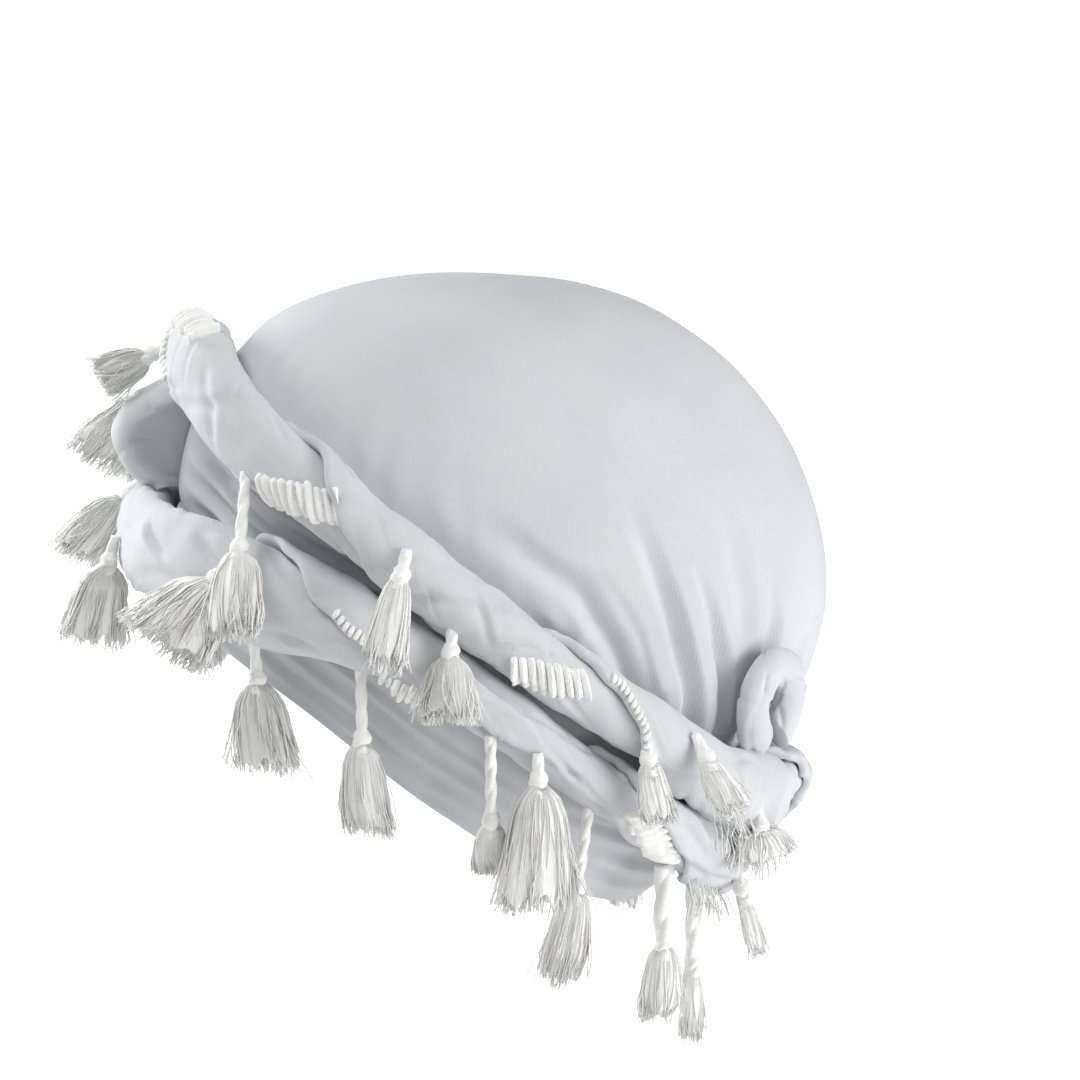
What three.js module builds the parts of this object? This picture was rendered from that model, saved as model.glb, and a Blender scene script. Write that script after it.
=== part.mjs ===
// A wrapped durag, worn turban fashion: a jersey crown with a satin lining, whose fringed tail is
// twisted into two rolls that go round the head, with ribbed headings and tassels on the rolls.
// Millimetres, +Z up. The front faces -Y and the wearer's left is +X. The origin is the centre of
// the head that the crown sits on.
import * as THREE from "three";

// Driving dimensions of the head that the crown is stretched over, from its centre.
const HEAD = {
  halfBreadth: 80,
  frontReach: 106,
  backReach: 103,
  rise: 104,
  roundSquare: 2, // exponent of the upright sections: 2 is an ellipse, more is squarer
  browSquare: 3.4,
  sideSquare: 2.7,
  napeSquare: 1.6,
};
const JERSEY_WALL = 1.8;
const SATIN_WALL = 1.0;
const LINING_SLACK = 5;
const GAP = 0.4; // clearance between pieces that touch

// Heights round the head, from the brow at azimuth 0 to the nape at 180 degrees, the same on both
// sides: the crown's rim, and the middle of each roll with its half width and outward half depth.
const RIM = [
  { azimuth: 0, height: 8 },
  { azimuth: 30, height: -7 },
  { azimuth: 60, height: -42 },
  { azimuth: 90, height: -72 },
  { azimuth: 120, height: -86 },
  { azimuth: 150, height: -88 },
  { azimuth: 180, height: -87 },
];
const UPPER_ROLL = {
  inward: 7,
  turns: 7,
  phase: 6,
  layer: 0.2,
  rows: [
    { azimuth: 0, height: 80, halfWidth: 12.5, outward: 11 },
    { azimuth: 30, height: 63, halfWidth: 12, outward: 11 },
    { azimuth: 60, height: 32, halfWidth: 10.2, outward: 11 },
    { azimuth: 90, height: -2, halfWidth: 10.2, outward: 11 },
    { azimuth: 120, height: -33, halfWidth: 11, outward: 11 },
    { azimuth: 150, height: -52, halfWidth: 14.5, outward: 8.5 },
    { azimuth: 180, height: -56, halfWidth: 13, outward: 7.5 },
  ],
};
const LOWER_ROLL = {
  inward: 7,
  turns: 6,
  phase: 40,
  layer: 0.18,
  rows: [
    { azimuth: 0, height: 26, halfWidth: 14.5, outward: 11 },
    { azimuth: 30, height: 23, halfWidth: 15, outward: 11.5 },
    { azimuth: 60, height: 7, halfWidth: 9.8, outward: 10.5 },
    { azimuth: 90, height: -27, halfWidth: 9.2, outward: 10 },
    { azimuth: 120, height: -60, halfWidth: 10, outward: 10 },
    { azimuth: 150, height: -78, halfWidth: 9.5, outward: 9 },
    { azimuth: 180, height: -80, halfWidth: 9, outward: 8 },
  ],
};
const ROLLS = { upper: UPPER_ROLL, lower: LOWER_ROLL };

// Ribbed headings of the fringe, at the edges of the twisted cloth: each lies along its roll from one
// azimuth to another, with its middle at an angle round the roll at either end, outwards at 0 and
// down at 90 degrees.
const HEADING = { width: 10, ridge: 2.4, valley: 1.5, ribPitch: 5, lift: 0.6 };
const HEADINGS = [
  { roll: "upper", from: 33, to: 44, aroundFrom: 50, aroundTo: -15 },
  { roll: "upper", from: 77, to: 88, aroundFrom: 40, aroundTo: -25 },
  { roll: "upper", from: -10, to: 6, aroundFrom: -25, aroundTo: -45 },
  { roll: "lower", from: 53, to: 64, aroundFrom: 58, aroundTo: 55 },
  { roll: "lower", from: 99, to: 111, aroundFrom: -15, aroundTo: 50 },
  { roll: "upper", from: -62, to: -50, aroundFrom: -15, aroundTo: 50 },
  { roll: "lower", from: -104, to: -90, aroundFrom: 20, aroundTo: 60 },
];

// Tassels: where each is tied to its roll, its cord, with the cord's radius where it is stouter, the
// length and width of its skirt, and how far it stands out from the head and leans back for each unit
// that it drops, and the turn of its skirt.
const TASSEL = { cordRadius: 1.6, knotRadius: 3.2, knotLength: 5, neck: 2.4, flatness: 0.38, sides: 8 };
const TASSELS = [
  { roll: "upper", azimuth: -8, around: 20, cord: 2, skirt: 15, width: 16, stand: 2, turn: 75 },
  { roll: "upper", azimuth: -22, around: 50, cord: 3, skirt: 29, width: 26, stand: 0.9, turn: 70 },
  { roll: "lower", azimuth: -14, around: -50, cord: 2, skirt: 24, width: 22, stand: 0.9, turn: 60 },
  { roll: "lower", azimuth: -1, around: 0, cord: 2, skirt: 25, width: 26, stand: 0.3, turn: 60 },
  { roll: "lower", azimuth: 26, around: -45, cord: 2, skirt: 24, width: 30, stand: 1.05, turn: -30 },
  { roll: "upper", azimuth: 30, around: 55, cord: 17, skirt: 25, width: 23, stand: 0.5, lean: 0.4, turn: -20 },
  { roll: "lower", azimuth: 31, around: 75, cord: 7, skirt: 26, width: 23, stand: 0, lean: 0.1, turn: -25 },
  { roll: "lower", azimuth: 50, around: 82, cord: 17, skirt: 28, width: 17, stand: 0, turn: -15 },
  { roll: "upper", azimuth: 55, around: -15, cord: 2, skirt: 26, width: 14, stand: 0.8, turn: -10 },
  { roll: "upper", azimuth: 67, around: 48, cord: 2, skirt: 18, width: 19, stand: 0.55, turn: 0 },
  { roll: "lower", azimuth: 74, around: 45, cord: 21, skirt: 15, width: 13, stand: 0, turn: 0 },
  { roll: "lower", azimuth: 81, around: 20, cord: 2, skirt: 38, width: 24, stand: 0.1, turn: 0 },
  { roll: "lower", azimuth: 95, around: 80, cord: 20, skirt: 28, width: 17, stand: 0, lean: -0.15, turn: 9 },
  { roll: "lower", azimuth: 115, around: 75, cord: 20, stem: 3, skirt: 23, width: 16, stand: 0, turn: 30 },
  { roll: "lower", azimuth: 124, around: 60, cord: 20, stem: 2.4, skirt: 25, width: 10, stand: 0, turn: 25 },
  { roll: "lower", azimuth: 127, around: -20, cord: 2, skirt: 20, width: 8, stand: 0.3, turn: 30 },
  { roll: "upper", azimuth: 101, around: 10, cord: 2, skirt: 17, width: 12, stand: 0.3, turn: 15 },
  { roll: "upper", azimuth: 109, around: -30, cord: 2, skirt: 17, width: 13, stand: 1, turn: 20 },
  { roll: "upper", azimuth: 129, around: 25, cord: 2, skirt: 9, width: 22, stand: 0.2, turn: 30 },
  { roll: "upper", azimuth: -44, around: 55, cord: 6, skirt: 24, width: 18, stand: 0.4, turn: 0 },
  { roll: "upper", azimuth: -82, around: 50, cord: 4, skirt: 24, width: 18, stand: 0.3, turn: 0 },
  { roll: "upper", azimuth: -125, around: 50, cord: 4, skirt: 22, width: 18, stand: 0.3, turn: 0 },
  { roll: "lower", azimuth: -36, around: 75, cord: 10, skirt: 26, width: 18, stand: 0, turn: 0 },
  { roll: "lower", azimuth: -64, around: 75, cord: 14, skirt: 27, width: 17, stand: 0, turn: 0 },
  { roll: "lower", azimuth: -112, around: 75, cord: 14, skirt: 26, width: 17, stand: 0, turn: 0 },
  { roll: "lower", azimuth: -145, around: 75, cord: 10, skirt: 24, width: 17, stand: 0, turn: 0 },
];

// Puffs of the tail's cloth that lie on the crown between and behind the rolls: the place of each,
// its half length, half width and half depth, and the turn of its length from level.
const PUFFS = [
  { name: "brow_puff", azimuth: -9, height: 55, length: 11.5, width: 10, depth: 11, turn: 90 },
  { name: "tail_puff", azimuth: 134, height: -14, length: 13, width: 8, depth: 6, turn: 50 },
];

// Valleys that run out over the crown from the gather at the root of the tail.
const GATHER = { azimuth: 118, polar: 111 };
const FOLDS = [
  { azimuth: 74, polar: 62, width: 8, depth: 4 },
  { azimuth: 100, polar: 84, width: 5, depth: 3 },
  { azimuth: 105, polar: 60, width: 6, depth: 4 },
  { azimuth: 119, polar: 74, width: 5, depth: 3.5 },
  { azimuth: 150, polar: 84, width: 6, depth: 3 },
];
const PLEATS = { height: 34, pitch: 11, depth: 1.6 };

const CROWN_MESH = { columns: 48, rows: 16, crowdingRound: 0.5, crowdingDown: 1.35 };
const ROLL_MESH = { stations: 60, sides: 12, edgeStep: 5 };
const PUFF_MESH = { rings: 6, sides: 10 };

const radians = THREE.MathUtils.degToRad;
const mix = THREE.MathUtils.lerp;
const clamp = THREE.MathUtils.clamp;

// Unit direction from the head's centre: azimuth 0 is the front and 90 degrees the wearer's left,
// and polar 0 is the top.
function direction(azimuth, polar) {
  return new THREE.Vector3(
    Math.sin(polar) * Math.sin(azimuth),
    -Math.sin(polar) * Math.cos(azimuth),
    Math.cos(polar),
  );
}

// Distance from the centre to the smooth head form in that direction.
function headRadius(azimuth, polar) {
  const forward = Math.cos(azimuth);
  const up = Math.cos(polar);
  const reach = forward > 0 ? HEAD.frontReach : HEAD.backReach;
  const plan = 1 / Math.hypot(Math.sin(azimuth) / HEAD.halfBreadth, forward / reach);
  const square =
    up > 0
      ? mix(HEAD.roundSquare, HEAD.browSquare, ((1 + forward) / 2) ** 2)
      : mix(forward > 0 ? HEAD.roundSquare : HEAD.napeSquare, HEAD.sideSquare, Math.sin(azimuth) ** 2);
  const across = (Math.sin(polar) / plan) ** square;
  const along = (Math.abs(up) / HEAD.rise) ** square;
  return (across + along) ** (-1 / square);
}

function headPoint(azimuth, polar, sink = 0) {
  return direction(azimuth, polar).multiplyScalar(headRadius(azimuth, polar) - sink);
}

// Outward normal of the head form.
function headNormal(azimuth, polar) {
  const step = 0.01;
  const east = headPoint(azimuth + step, polar).sub(headPoint(azimuth - step, polar));
  const south = headPoint(azimuth, polar + step).sub(headPoint(azimuth, polar - step));
  return south.cross(east).normalize();
}

// A column of a table at an azimuth, on a smooth curve through its evenly spaced rows.
function columnAt(rows, column, azimuth) {
  const turned = Math.abs(THREE.MathUtils.euclideanModulo(azimuth + Math.PI, 2 * Math.PI) - Math.PI);
  const place = (turned / Math.PI) * (rows.length - 1);
  const i = Math.min(Math.floor(place), rows.length - 2);
  const value = (k) => rows[k < 0 ? -k : k < rows.length ? k : 2 * rows.length - 2 - k][column];
  return catmullRom(value(i - 1), value(i), value(i + 1), value(i + 2), place - i);
}

// Catmull-Rom curve through b and c, with a and d beyond them.
function catmullRom(a, b, c, d, t) {
  const bend = 2 * a - 5 * b + 4 * c - d + (3 * (b - c) + d - a) * t;
  return b + 0.5 * t * (c - a + t * bend);
}

// Polar angle at which the meridian of an azimuth is at a height, by halving.
function polarAtHeight(azimuth, height) {
  let low = 0;
  let high = Math.PI;
  for (let i = 0; i < 40; i++) {
    const middle = (low + high) / 2;
    if (headPoint(azimuth, middle).z > height) low = middle;
    else high = middle;
  }
  return low;
}

const rimPolarAt = (azimuth) => polarAtHeight(azimuth, columnAt(RIM, "height", azimuth));

const smooth = (x) => THREE.MathUtils.smoothstep(x, 0, 1);

// How far the folds at the gather pull the crown in: the deepest of the valleys, each along the
// great circle from the gather to the valley's end.
function gatherSink(azimuth, polar) {
  const here = direction(azimuth, polar);
  const start = direction(radians(GATHER.azimuth), radians(GATHER.polar));
  let sink = 0;
  for (const fold of FOLDS) {
    const end = direction(radians(fold.azimuth), radians(fold.polar));
    const side = start.clone().cross(end).normalize();
    const across = HEAD.rise * here.dot(side);
    const flat = here.clone().addScaledVector(side, -here.dot(side)).normalize();
    const turned = Math.atan2(start.clone().cross(flat).dot(side), start.dot(flat));
    const along = turned / start.angleTo(end);
    const fade = smooth(clamp(4 * (along + 0.2), 0, 1)) * smooth(clamp(1.25 * (1 - along), 0, 1));
    sink = Math.max(sink, fold.depth * fade * Math.exp(-((across / fold.width) ** 2)));
  }
  return sink;
}

// How far the long pleats above the rim pull the crown in.
function pleatSink(azimuth, polar) {
  const above = (rimPolarAt(azimuth) - polar) * HEAD.rise;
  const window = smooth(clamp(above / 5, 0, 1)) * smooth(clamp((PLEATS.height - above) / 8, 0, 1));
  const wave = 0.5 - 0.5 * Math.cos((2 * Math.PI * above) / PLEATS.pitch + 0.8 * Math.sin(3 * azimuth));
  return PLEATS.depth * window * wave;
}

const foldSink = (azimuth, polar) => Math.max(gatherSink(azimuth, polar), pleatSink(azimuth, polar));

// Closed wall between an outer and an inner surface, each a function of azimuth and of the share
// of the way from the top to the rim.
function wallGeometry(outer, inner, azimuths, shares) {
  const columns = azimuths.length;
  const points = [];
  const faces = [];
  const layers = [outer, inner].map((surface) => {
    const first = points.length;
    points.push(surface(0, 0));
    for (const share of shares) {
      for (const azimuth of azimuths) points.push(surface(azimuth, share));
    }
    return first;
  });
  const at = (layer, row, column) => layers[layer] + 1 + row * columns + (column % columns);
  for (let c = 0; c < columns; c++) {
    faces.push(layers[0], at(0, 0, c), at(0, 0, c + 1));
    faces.push(layers[1], at(1, 0, c + 1), at(1, 0, c));
    for (let r = 0; r + 1 < shares.length; r++) {
      faces.push(at(0, r, c), at(0, r + 1, c), at(0, r + 1, c + 1));
      faces.push(at(0, r, c), at(0, r + 1, c + 1), at(0, r, c + 1));
      faces.push(at(1, r, c), at(1, r + 1, c + 1), at(1, r + 1, c));
      faces.push(at(1, r, c), at(1, r, c + 1), at(1, r + 1, c + 1));
    }
    const last = shares.length - 1;
    faces.push(at(0, last, c), at(1, last, c), at(1, last, c + 1));
    faces.push(at(0, last, c), at(1, last, c + 1), at(0, last, c + 1));
  }
  return geometryOf(points, faces);
}

function geometryOf(points, faces) {
  const geometry = new THREE.BufferGeometry().setFromPoints(points);
  geometry.setIndex(faces);
  geometry.computeVertexNormals();
  return geometry;
}

// Azimuths round the head, closer together near the gather.
function azimuthsRound(count, crowding) {
  return Array.from({ length: count }, (_, i) => {
    const turn = (2 * Math.PI * i) / count;
    return radians(GATHER.azimuth) + turn - crowding * Math.sin(turn);
  });
}

// Shares of the way from the top to the rim, closer together near the rim.
const sharesDown = (count, crowding) =>
  Array.from({ length: count }, (_, i) => 1 - (1 - (i + 1) / count) ** crowding);

const crownAzimuths = azimuthsRound(CROWN_MESH.columns, CROWN_MESH.crowdingRound);
const crownShares = sharesDown(CROWN_MESH.rows, CROWN_MESH.crowdingDown);

function crownGeometry() {
  const surface = (sink) => (azimuth, share) => {
    const polar = rimPolarAt(azimuth) * share;
    return headPoint(azimuth, polar, sink + foldSink(azimuth, polar));
  };
  return wallGeometry(surface(0), surface(JERSEY_WALL), crownAzimuths, crownShares);
}

// The lining hangs a little slack under the folds and ends just inside the rim, close to the crown.
function liningGeometry() {
  const everySecond = (_, i) => i % 2 === 0;
  const shares = crownShares.slice(0, -1).filter(everySecond);
  const last = shares[shares.length - 1];
  const surface = (sink) => (azimuth, share) => {
    const polar = rimPolarAt(azimuth) * share;
    const hang = share < last ? LINING_SLACK : 0;
    return headPoint(azimuth, polar, JERSEY_WALL + GAP + Math.max(hang, foldSink(azimuth, polar)) + sink);
  };
  return wallGeometry(surface(0), surface(SATIN_WALL), crownAzimuths.filter(everySecond), shares);
}

// Where a roll is at an azimuth: the centre of its section, and the ways out and down from there.
function rollStation(roll, azimuth) {
  const polarAt = (a) => polarAtHeight(a, columnAt(roll.rows, "height", a));
  const seat = (a) => headPoint(a, polarAt(a));
  const out = headNormal(azimuth, polarAt(azimuth));
  const along = seat(azimuth + 0.01).sub(seat(azimuth - 0.01)).normalize();
  const down = along.clone().cross(out).normalize();
  const centre = seat(azimuth).addScaledVector(out, roll.inward + GAP);
  return { centre, out, down, along };
}

// Point beside a roll at an angle round its section, outwards at 0 and down at 90 degrees: a swell of
// 1 is the top layer of the cloth.
function rollPoint(roll, azimuth, around, lift, swell = 1) {
  const { centre, out, down } = rollStation(roll, azimuth);
  const depth = Math.cos(around) > 0 ? columnAt(roll.rows, "outward", azimuth) : roll.inward;
  const halfWidth = columnAt(roll.rows, "halfWidth", azimuth);
  return centre
    .addScaledVector(out, Math.cos(around) * (depth * swell + lift))
    .addScaledVector(down, Math.sin(around) * (halfWidth * swell + lift));
}

// A roll of twisted cloth: each turn lies on the one before it, so its section winds outwards from
// one side of the cloth's edge to the other.
function rollGeometry(roll) {
  const step = radians(ROLL_MESH.edgeStep);
  const surface = (azimuth, share) => {
    const around = roll.turns * azimuth + radians(roll.phase) + step + (2 * Math.PI - 2 * step) * share;
    return rollPoint(roll, azimuth, around, 0, 1 - roll.layer * (1 - share));
  };
  return ringGeometry(surface, ROLL_MESH.stations, ROLL_MESH.sides);
}

// Closed ring of sections, whose points are shares of the way round.
function ringGeometry(pointAt, stations, sides) {
  const points = [];
  const faces = [];
  for (let i = 0; i < stations; i++) {
    for (let k = 0; k < sides; k++) {
      points.push(pointAt((2 * Math.PI * i) / stations, k / (sides - 1)));
    }
  }
  const at = (i, k) => (i % stations) * sides + (k % sides);
  for (let i = 0; i < stations; i++) {
    for (let k = 0; k < sides; k++) {
      faces.push(at(i, k), at(i, k + 1), at(i + 1, k));
      faces.push(at(i, k + 1), at(i + 1, k + 1), at(i + 1, k));
    }
  }
  return geometryOf(points, faces);
}

// Closed body through rings of points, with a point that closes either end.
function loftGeometry(start, rings, end) {
  const sides = rings[0].length;
  const points = [start, ...rings.flat(), end];
  const faces = [];
  const at = (ring, k) => 1 + ring * sides + (k % sides);
  for (let k = 0; k < sides; k++) {
    faces.push(0, at(0, k + 1), at(0, k));
    faces.push(points.length - 1, at(rings.length - 1, k), at(rings.length - 1, k + 1));
    for (let i = 0; i + 1 < rings.length; i++) {
      faces.push(at(i, k), at(i + 1, k + 1), at(i + 1, k), at(i, k), at(i, k + 1), at(i + 1, k + 1));
    }
  }
  return geometryOf(points, faces);
}

// Point of a mesh that is met first on the way from one point towards another.
function surfacePoint(mesh, from, towards) {
  const way = towards.clone().sub(from).normalize();
  return new THREE.Raycaster(from, way).intersectObject(mesh)[0].point;
}

// Point at a height above the faceted surface of a roll, and the way out from there.
function onRoll(name, azimuth, around, height) {
  const { centre } = rollStation(ROLLS[name], azimuth);
  const outside = rollPoint(ROLLS[name], azimuth, around, ROLLS[name].inward);
  const out = outside.clone().sub(centre).normalize();
  return { point: surfacePoint(rolls[name], outside, centre).addScaledVector(out, height), out };
}

// A heading: a ribbon whose ribs cross it, on the highest of the cloth that it lies along.
function headingGeometry({ roll, from, to, aroundFrom, aroundTo }) {
  const body = ROLLS[roll];
  const [a0, a1, k0, k1] = [from, to, aroundFrom, aroundTo].map(radians);
  const arm = rollStation(body, (a0 + a1) / 2).centre.setZ(0).length();
  const girth = columnAt(body.rows, "halfWidth", (a0 + a1) / 2);
  const run = new THREE.Vector2((a1 - a0) * arm, (k1 - k0) * girth);
  const steps = 2 * Math.round(run.length() / HEADING.ribPitch);
  const across = new THREE.Vector2(-run.y, run.x).setLength(HEADING.width / 2);
  const place = (t, side) => [
    mix(a0, a1, t) + (side * across.x) / arm,
    mix(k0, k1, t) + (side * across.y) / girth,
  ];
  let rise = -Infinity;
  for (let i = 0; i <= 2 * steps; i++) {
    for (const side of [-1, -0.5, 0, 0.5, 1]) {
      const spot = place(i / (2 * steps), side);
      const { point, out } = onRoll(roll, ...spot, HEADING.lift);
      rise = Math.max(rise, point.sub(rollPoint(body, ...spot, 0)).dot(out));
    }
  }
  const corners = [[-1, 1], [0, 1], [1, 1], [1, 0], [0, 0], [-1, 0]];
  const rings = Array.from({ length: steps + 1 }, (_, i) => {
    const thickness = i % 2 ? HEADING.ridge : HEADING.valley;
    return corners.map(([side, top]) => rollPoint(body, ...place(i / steps, side), rise + top * thickness));
  });
  return loftGeometry(centroid(rings[0]), rings, centroid(rings[steps]));
}

function centroid(points) {
  return points.reduce((sum, p) => sum.add(p), new THREE.Vector3()).divideScalar(points.length);
}

// A tassel: a cord, a knot and a flat skirt that parts into locks at its end.
function tasselGeometry({ roll, azimuth, around, cord, stem, skirt, width, stand, lean = 0, turn }) {
  const { knotRadius, knotLength, neck, flatness, sides } = TASSEL;
  const cordRadius = stem ?? TASSEL.cordRadius;
  const outward = direction(radians(azimuth), Math.PI / 2);
  const backward = new THREE.Vector3(0, 0, 1).cross(outward);
  const drop = new THREE.Vector3(0, 0, -1).addScaledVector(outward, stand).addScaledVector(backward, lean);
  drop.normalize();
  const { point: tie, out } = onRoll(roll, radians(azimuth), radians(around), GAP);
  tie.addScaledVector(out, cordRadius * Math.sqrt(1 - out.dot(drop) ** 2));
  const depth = outward.clone().addScaledVector(drop, -outward.dot(drop)).normalize();
  depth.applyAxisAngle(drop, radians(turn));
  const breadth = depth.clone().cross(drop);
  const knot = cord + knotLength;
  const sections = [
    { at: 0, halfBreadth: cordRadius, halfDepth: cordRadius, locks: 0 },
    { at: cord, halfBreadth: cordRadius, halfDepth: cordRadius, locks: 0 },
    { at: cord + 1, halfBreadth: knotRadius, halfDepth: knotRadius, locks: 0 },
    { at: knot - 1, halfBreadth: knotRadius, halfDepth: knotRadius, locks: 0 },
    { at: knot, halfBreadth: neck, halfDepth: neck, locks: 0 },
    { at: knot + 0.25 * skirt, halfBreadth: 0.36 * width, halfDepth: 0.4 * width * flatness, locks: 0.5 },
    { at: knot + 0.65 * skirt, halfBreadth: 0.45 * width, halfDepth: 0.5 * width * flatness, locks: 0.8 },
    { at: knot + skirt, halfBreadth: 0.5 * width, halfDepth: 0.5 * width * flatness, locks: 1 },
  ];
  const rings = sections.map(({ at, halfBreadth, halfDepth, locks }, i) =>
    Array.from({ length: sides }, (_, k) => {
      const angle = (2 * Math.PI * k) / sides;
      const shrink = k % 2 ? 1 - 0.3 * locks : 1;
      const lift = i + 1 === sections.length && k % 2 ? 0.16 * skirt : 0;
      return tie
        .clone()
        .addScaledVector(drop, at - lift)
        .addScaledVector(breadth, Math.cos(angle) * halfBreadth * shrink)
        .addScaledVector(depth, Math.sin(angle) * halfDepth * shrink);
    }),
  );
  const end = tie.clone().addScaledVector(drop, knot + 0.88 * skirt);
  return loftGeometry(tie, rings, end);
}

// A puff: a flattened round of cloth on the crown.
function puffGeometry({ azimuth, height, length, width, depth, turn }) {
  const polar = polarAtHeight(radians(azimuth), height);
  const out = headNormal(radians(azimuth), polar);
  const level = new THREE.Vector3(0, 0, 1).cross(out).normalize();
  const long = level.clone().applyAxisAngle(out, radians(turn));
  const short = out.clone().cross(long);
  const seat = headPoint(radians(azimuth), polar);
  const centre = surfacePoint(crown, seat.clone().addScaledVector(out, 2 * depth), seat);
  centre.addScaledVector(out, depth + GAP);
  const place = (tilt, around) =>
    centre
      .clone()
      .addScaledVector(long, -Math.cos(tilt) * length)
      .addScaledVector(short, Math.sin(tilt) * Math.cos(around) * width)
      .addScaledVector(out, Math.sin(tilt) * Math.sin(around) * depth);
  const rings = Array.from({ length: PUFF_MESH.rings }, (_, i) =>
    Array.from({ length: PUFF_MESH.sides }, (__, k) =>
      place((Math.PI * (i + 1)) / (PUFF_MESH.rings + 1), (2 * Math.PI * k) / PUFF_MESH.sides),
    ),
  );
  return loftGeometry(place(0, 0), rings, place(Math.PI, 0));
}

const cloth = (color, roughness) =>
  new THREE.MeshStandardMaterial({ color, roughness, metalness: 0 });
const jersey = cloth(0xe4e6e9, 0.9);
const satin = cloth(0xf2f2f0, 0.35);
const cotton = cloth(0xe6e5df, 0.95);

const durag = new THREE.Group();
function add(name, geometry, material) {
  const mesh = new THREE.Mesh(geometry, material);
  mesh.name = name;
  durag.add(mesh);
  return mesh;
}

const crown = add("crown", crownGeometry(), jersey);
add("lining", liningGeometry(), satin);
const rolls = {
  upper: add("upper_roll", rollGeometry(UPPER_ROLL), jersey),
  lower: add("lower_roll", rollGeometry(LOWER_ROLL), jersey),
};
PUFFS.forEach((puff) => add(puff.name, puffGeometry(puff), jersey));
HEADINGS.forEach((heading, i) => add(`heading_${i + 1}`, headingGeometry(heading), cotton));
TASSELS.forEach((tassel, i) => add(`tassel_${i + 1}`, tasselGeometry(tassel), cotton));

export default durag;
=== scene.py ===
"""Looks of a wrapped durag, worn turban fashion.

A jersey crown with a satin lining, two rolls that are twisted from the crown's tail and go round the
head, puffs of the same cloth, ribbed headings, beaded edges, tassels and frayed threads. Metres, +Z up.
The front faces -Y, the wearer's left is +X, and the origin is the centre of the head.
"""

import functools
import itertools
import logging
from dataclasses import dataclass, field
from enum import Enum
from typing import Sequence

import bpy
import numpy as np
from mathutils import Matrix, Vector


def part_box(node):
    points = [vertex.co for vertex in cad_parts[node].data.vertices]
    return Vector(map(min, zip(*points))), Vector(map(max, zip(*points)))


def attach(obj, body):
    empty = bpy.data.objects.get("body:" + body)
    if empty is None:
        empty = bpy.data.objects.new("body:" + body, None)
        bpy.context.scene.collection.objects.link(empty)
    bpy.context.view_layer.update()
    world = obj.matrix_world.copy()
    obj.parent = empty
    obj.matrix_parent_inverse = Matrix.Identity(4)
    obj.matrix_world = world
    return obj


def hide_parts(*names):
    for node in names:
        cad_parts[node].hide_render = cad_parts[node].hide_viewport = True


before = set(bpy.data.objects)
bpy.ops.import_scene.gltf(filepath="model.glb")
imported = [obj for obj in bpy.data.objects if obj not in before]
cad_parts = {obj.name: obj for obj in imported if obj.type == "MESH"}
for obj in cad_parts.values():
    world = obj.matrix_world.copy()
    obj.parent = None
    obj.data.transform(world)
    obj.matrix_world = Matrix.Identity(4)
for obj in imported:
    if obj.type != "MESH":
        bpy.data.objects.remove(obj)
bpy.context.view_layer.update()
BODY = "root"
MM = 0.001
# Gap of the CAD model between a piece and what it sits on.
GAP = 0.4 * MM
# Step in radians over which a direction along a surface is taken.
SLOPE_STEP = 0.01
# Turn from one seed of a sunflower to the next, which spreads strands evenly.
SEED_TURN = 2.399963
UPWARD = np.array([0.0, 0.0, 1.0])
# Primes, shifts and masks that scatter a lattice corner's place into a gradient.
LATTICE_KEYS = np.array([73856093, 19349663, 83492791])
SEED_KEY = 2654435
SCATTER = ((13, 1274126177), (15, 668265263))
KEY_MASK = 0x7FFFFFFF
RISE_BITS, RISE_MASK, TURN_MASK = 14, 0x3FFF, 0x1FFFF
Array = np.ndarray
Socket = bpy.types.NodeSocket
log = logging.getLogger("durag")


class Slot(Enum):
    """Material slots of the record."""

    JERSEY = "jersey"
    SATIN = "satin"
    COTTON = "cotton"


def smooth_step(x: Array, low: float, high: float) -> Array:
    """Ramp from 0 at low to 1 at high, with level ends: 3t^2 - 2t^3."""
    t = np.clip((x - low) / (high - low), 0.0, 1.0)
    return t * t * (3.0 - 2.0 * t)


def unit(vectors: Array) -> Array:
    """Vectors scaled to length 1 along the last axis."""
    return vectors / np.linalg.norm(vectors, axis=-1, keepdims=True)


def cloth_noise(points: Array, size: float, seed: int) -> Array:
    """Smooth noise in space, from about -1 to 1.

    Each corner of a cubic lattice holds a hashed gradient, and a point blends the slopes of the eight
    corners around it by a curve of the fifth degree.

    Args:
        points: Places, with x, y and z on the last axis.
        size: Side of a lattice cell in metres.
        seed: Picks the gradients.

    Returns:
        The noise at each place.
    """
    scaled = points / size + 17.3 * (seed % 89)
    cell = np.floor(scaled).astype(np.int64)
    local = scaled - cell
    fade = local**3 * (local * (local * 6.0 - 15.0) + 10.0)
    total = np.zeros(points.shape[:-1])
    for corner in itertools.product((0, 1), repeat=3):
        step = np.array(corner)
        key = (cell + step) @ LATTICE_KEYS + SEED_KEY * seed
        for shift, prime in SCATTER:
            key = (key ^ (key >> shift)) * prime & KEY_MASK
        rise = (key & RISE_MASK) / (0.5 * RISE_MASK) - 1.0
        turn = (key >> RISE_BITS) * (2.0 * np.pi / TURN_MASK)
        level = np.sqrt(1.0 - rise * rise)
        away = local - step
        slope = level * (np.cos(turn) * away[..., 0] + np.sin(turn) * away[..., 1]) + rise * away[..., 2]
        total += slope * np.prod(np.where(step, fade, 1.0 - fade), axis=-1)
    return 1.6 * total


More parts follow.
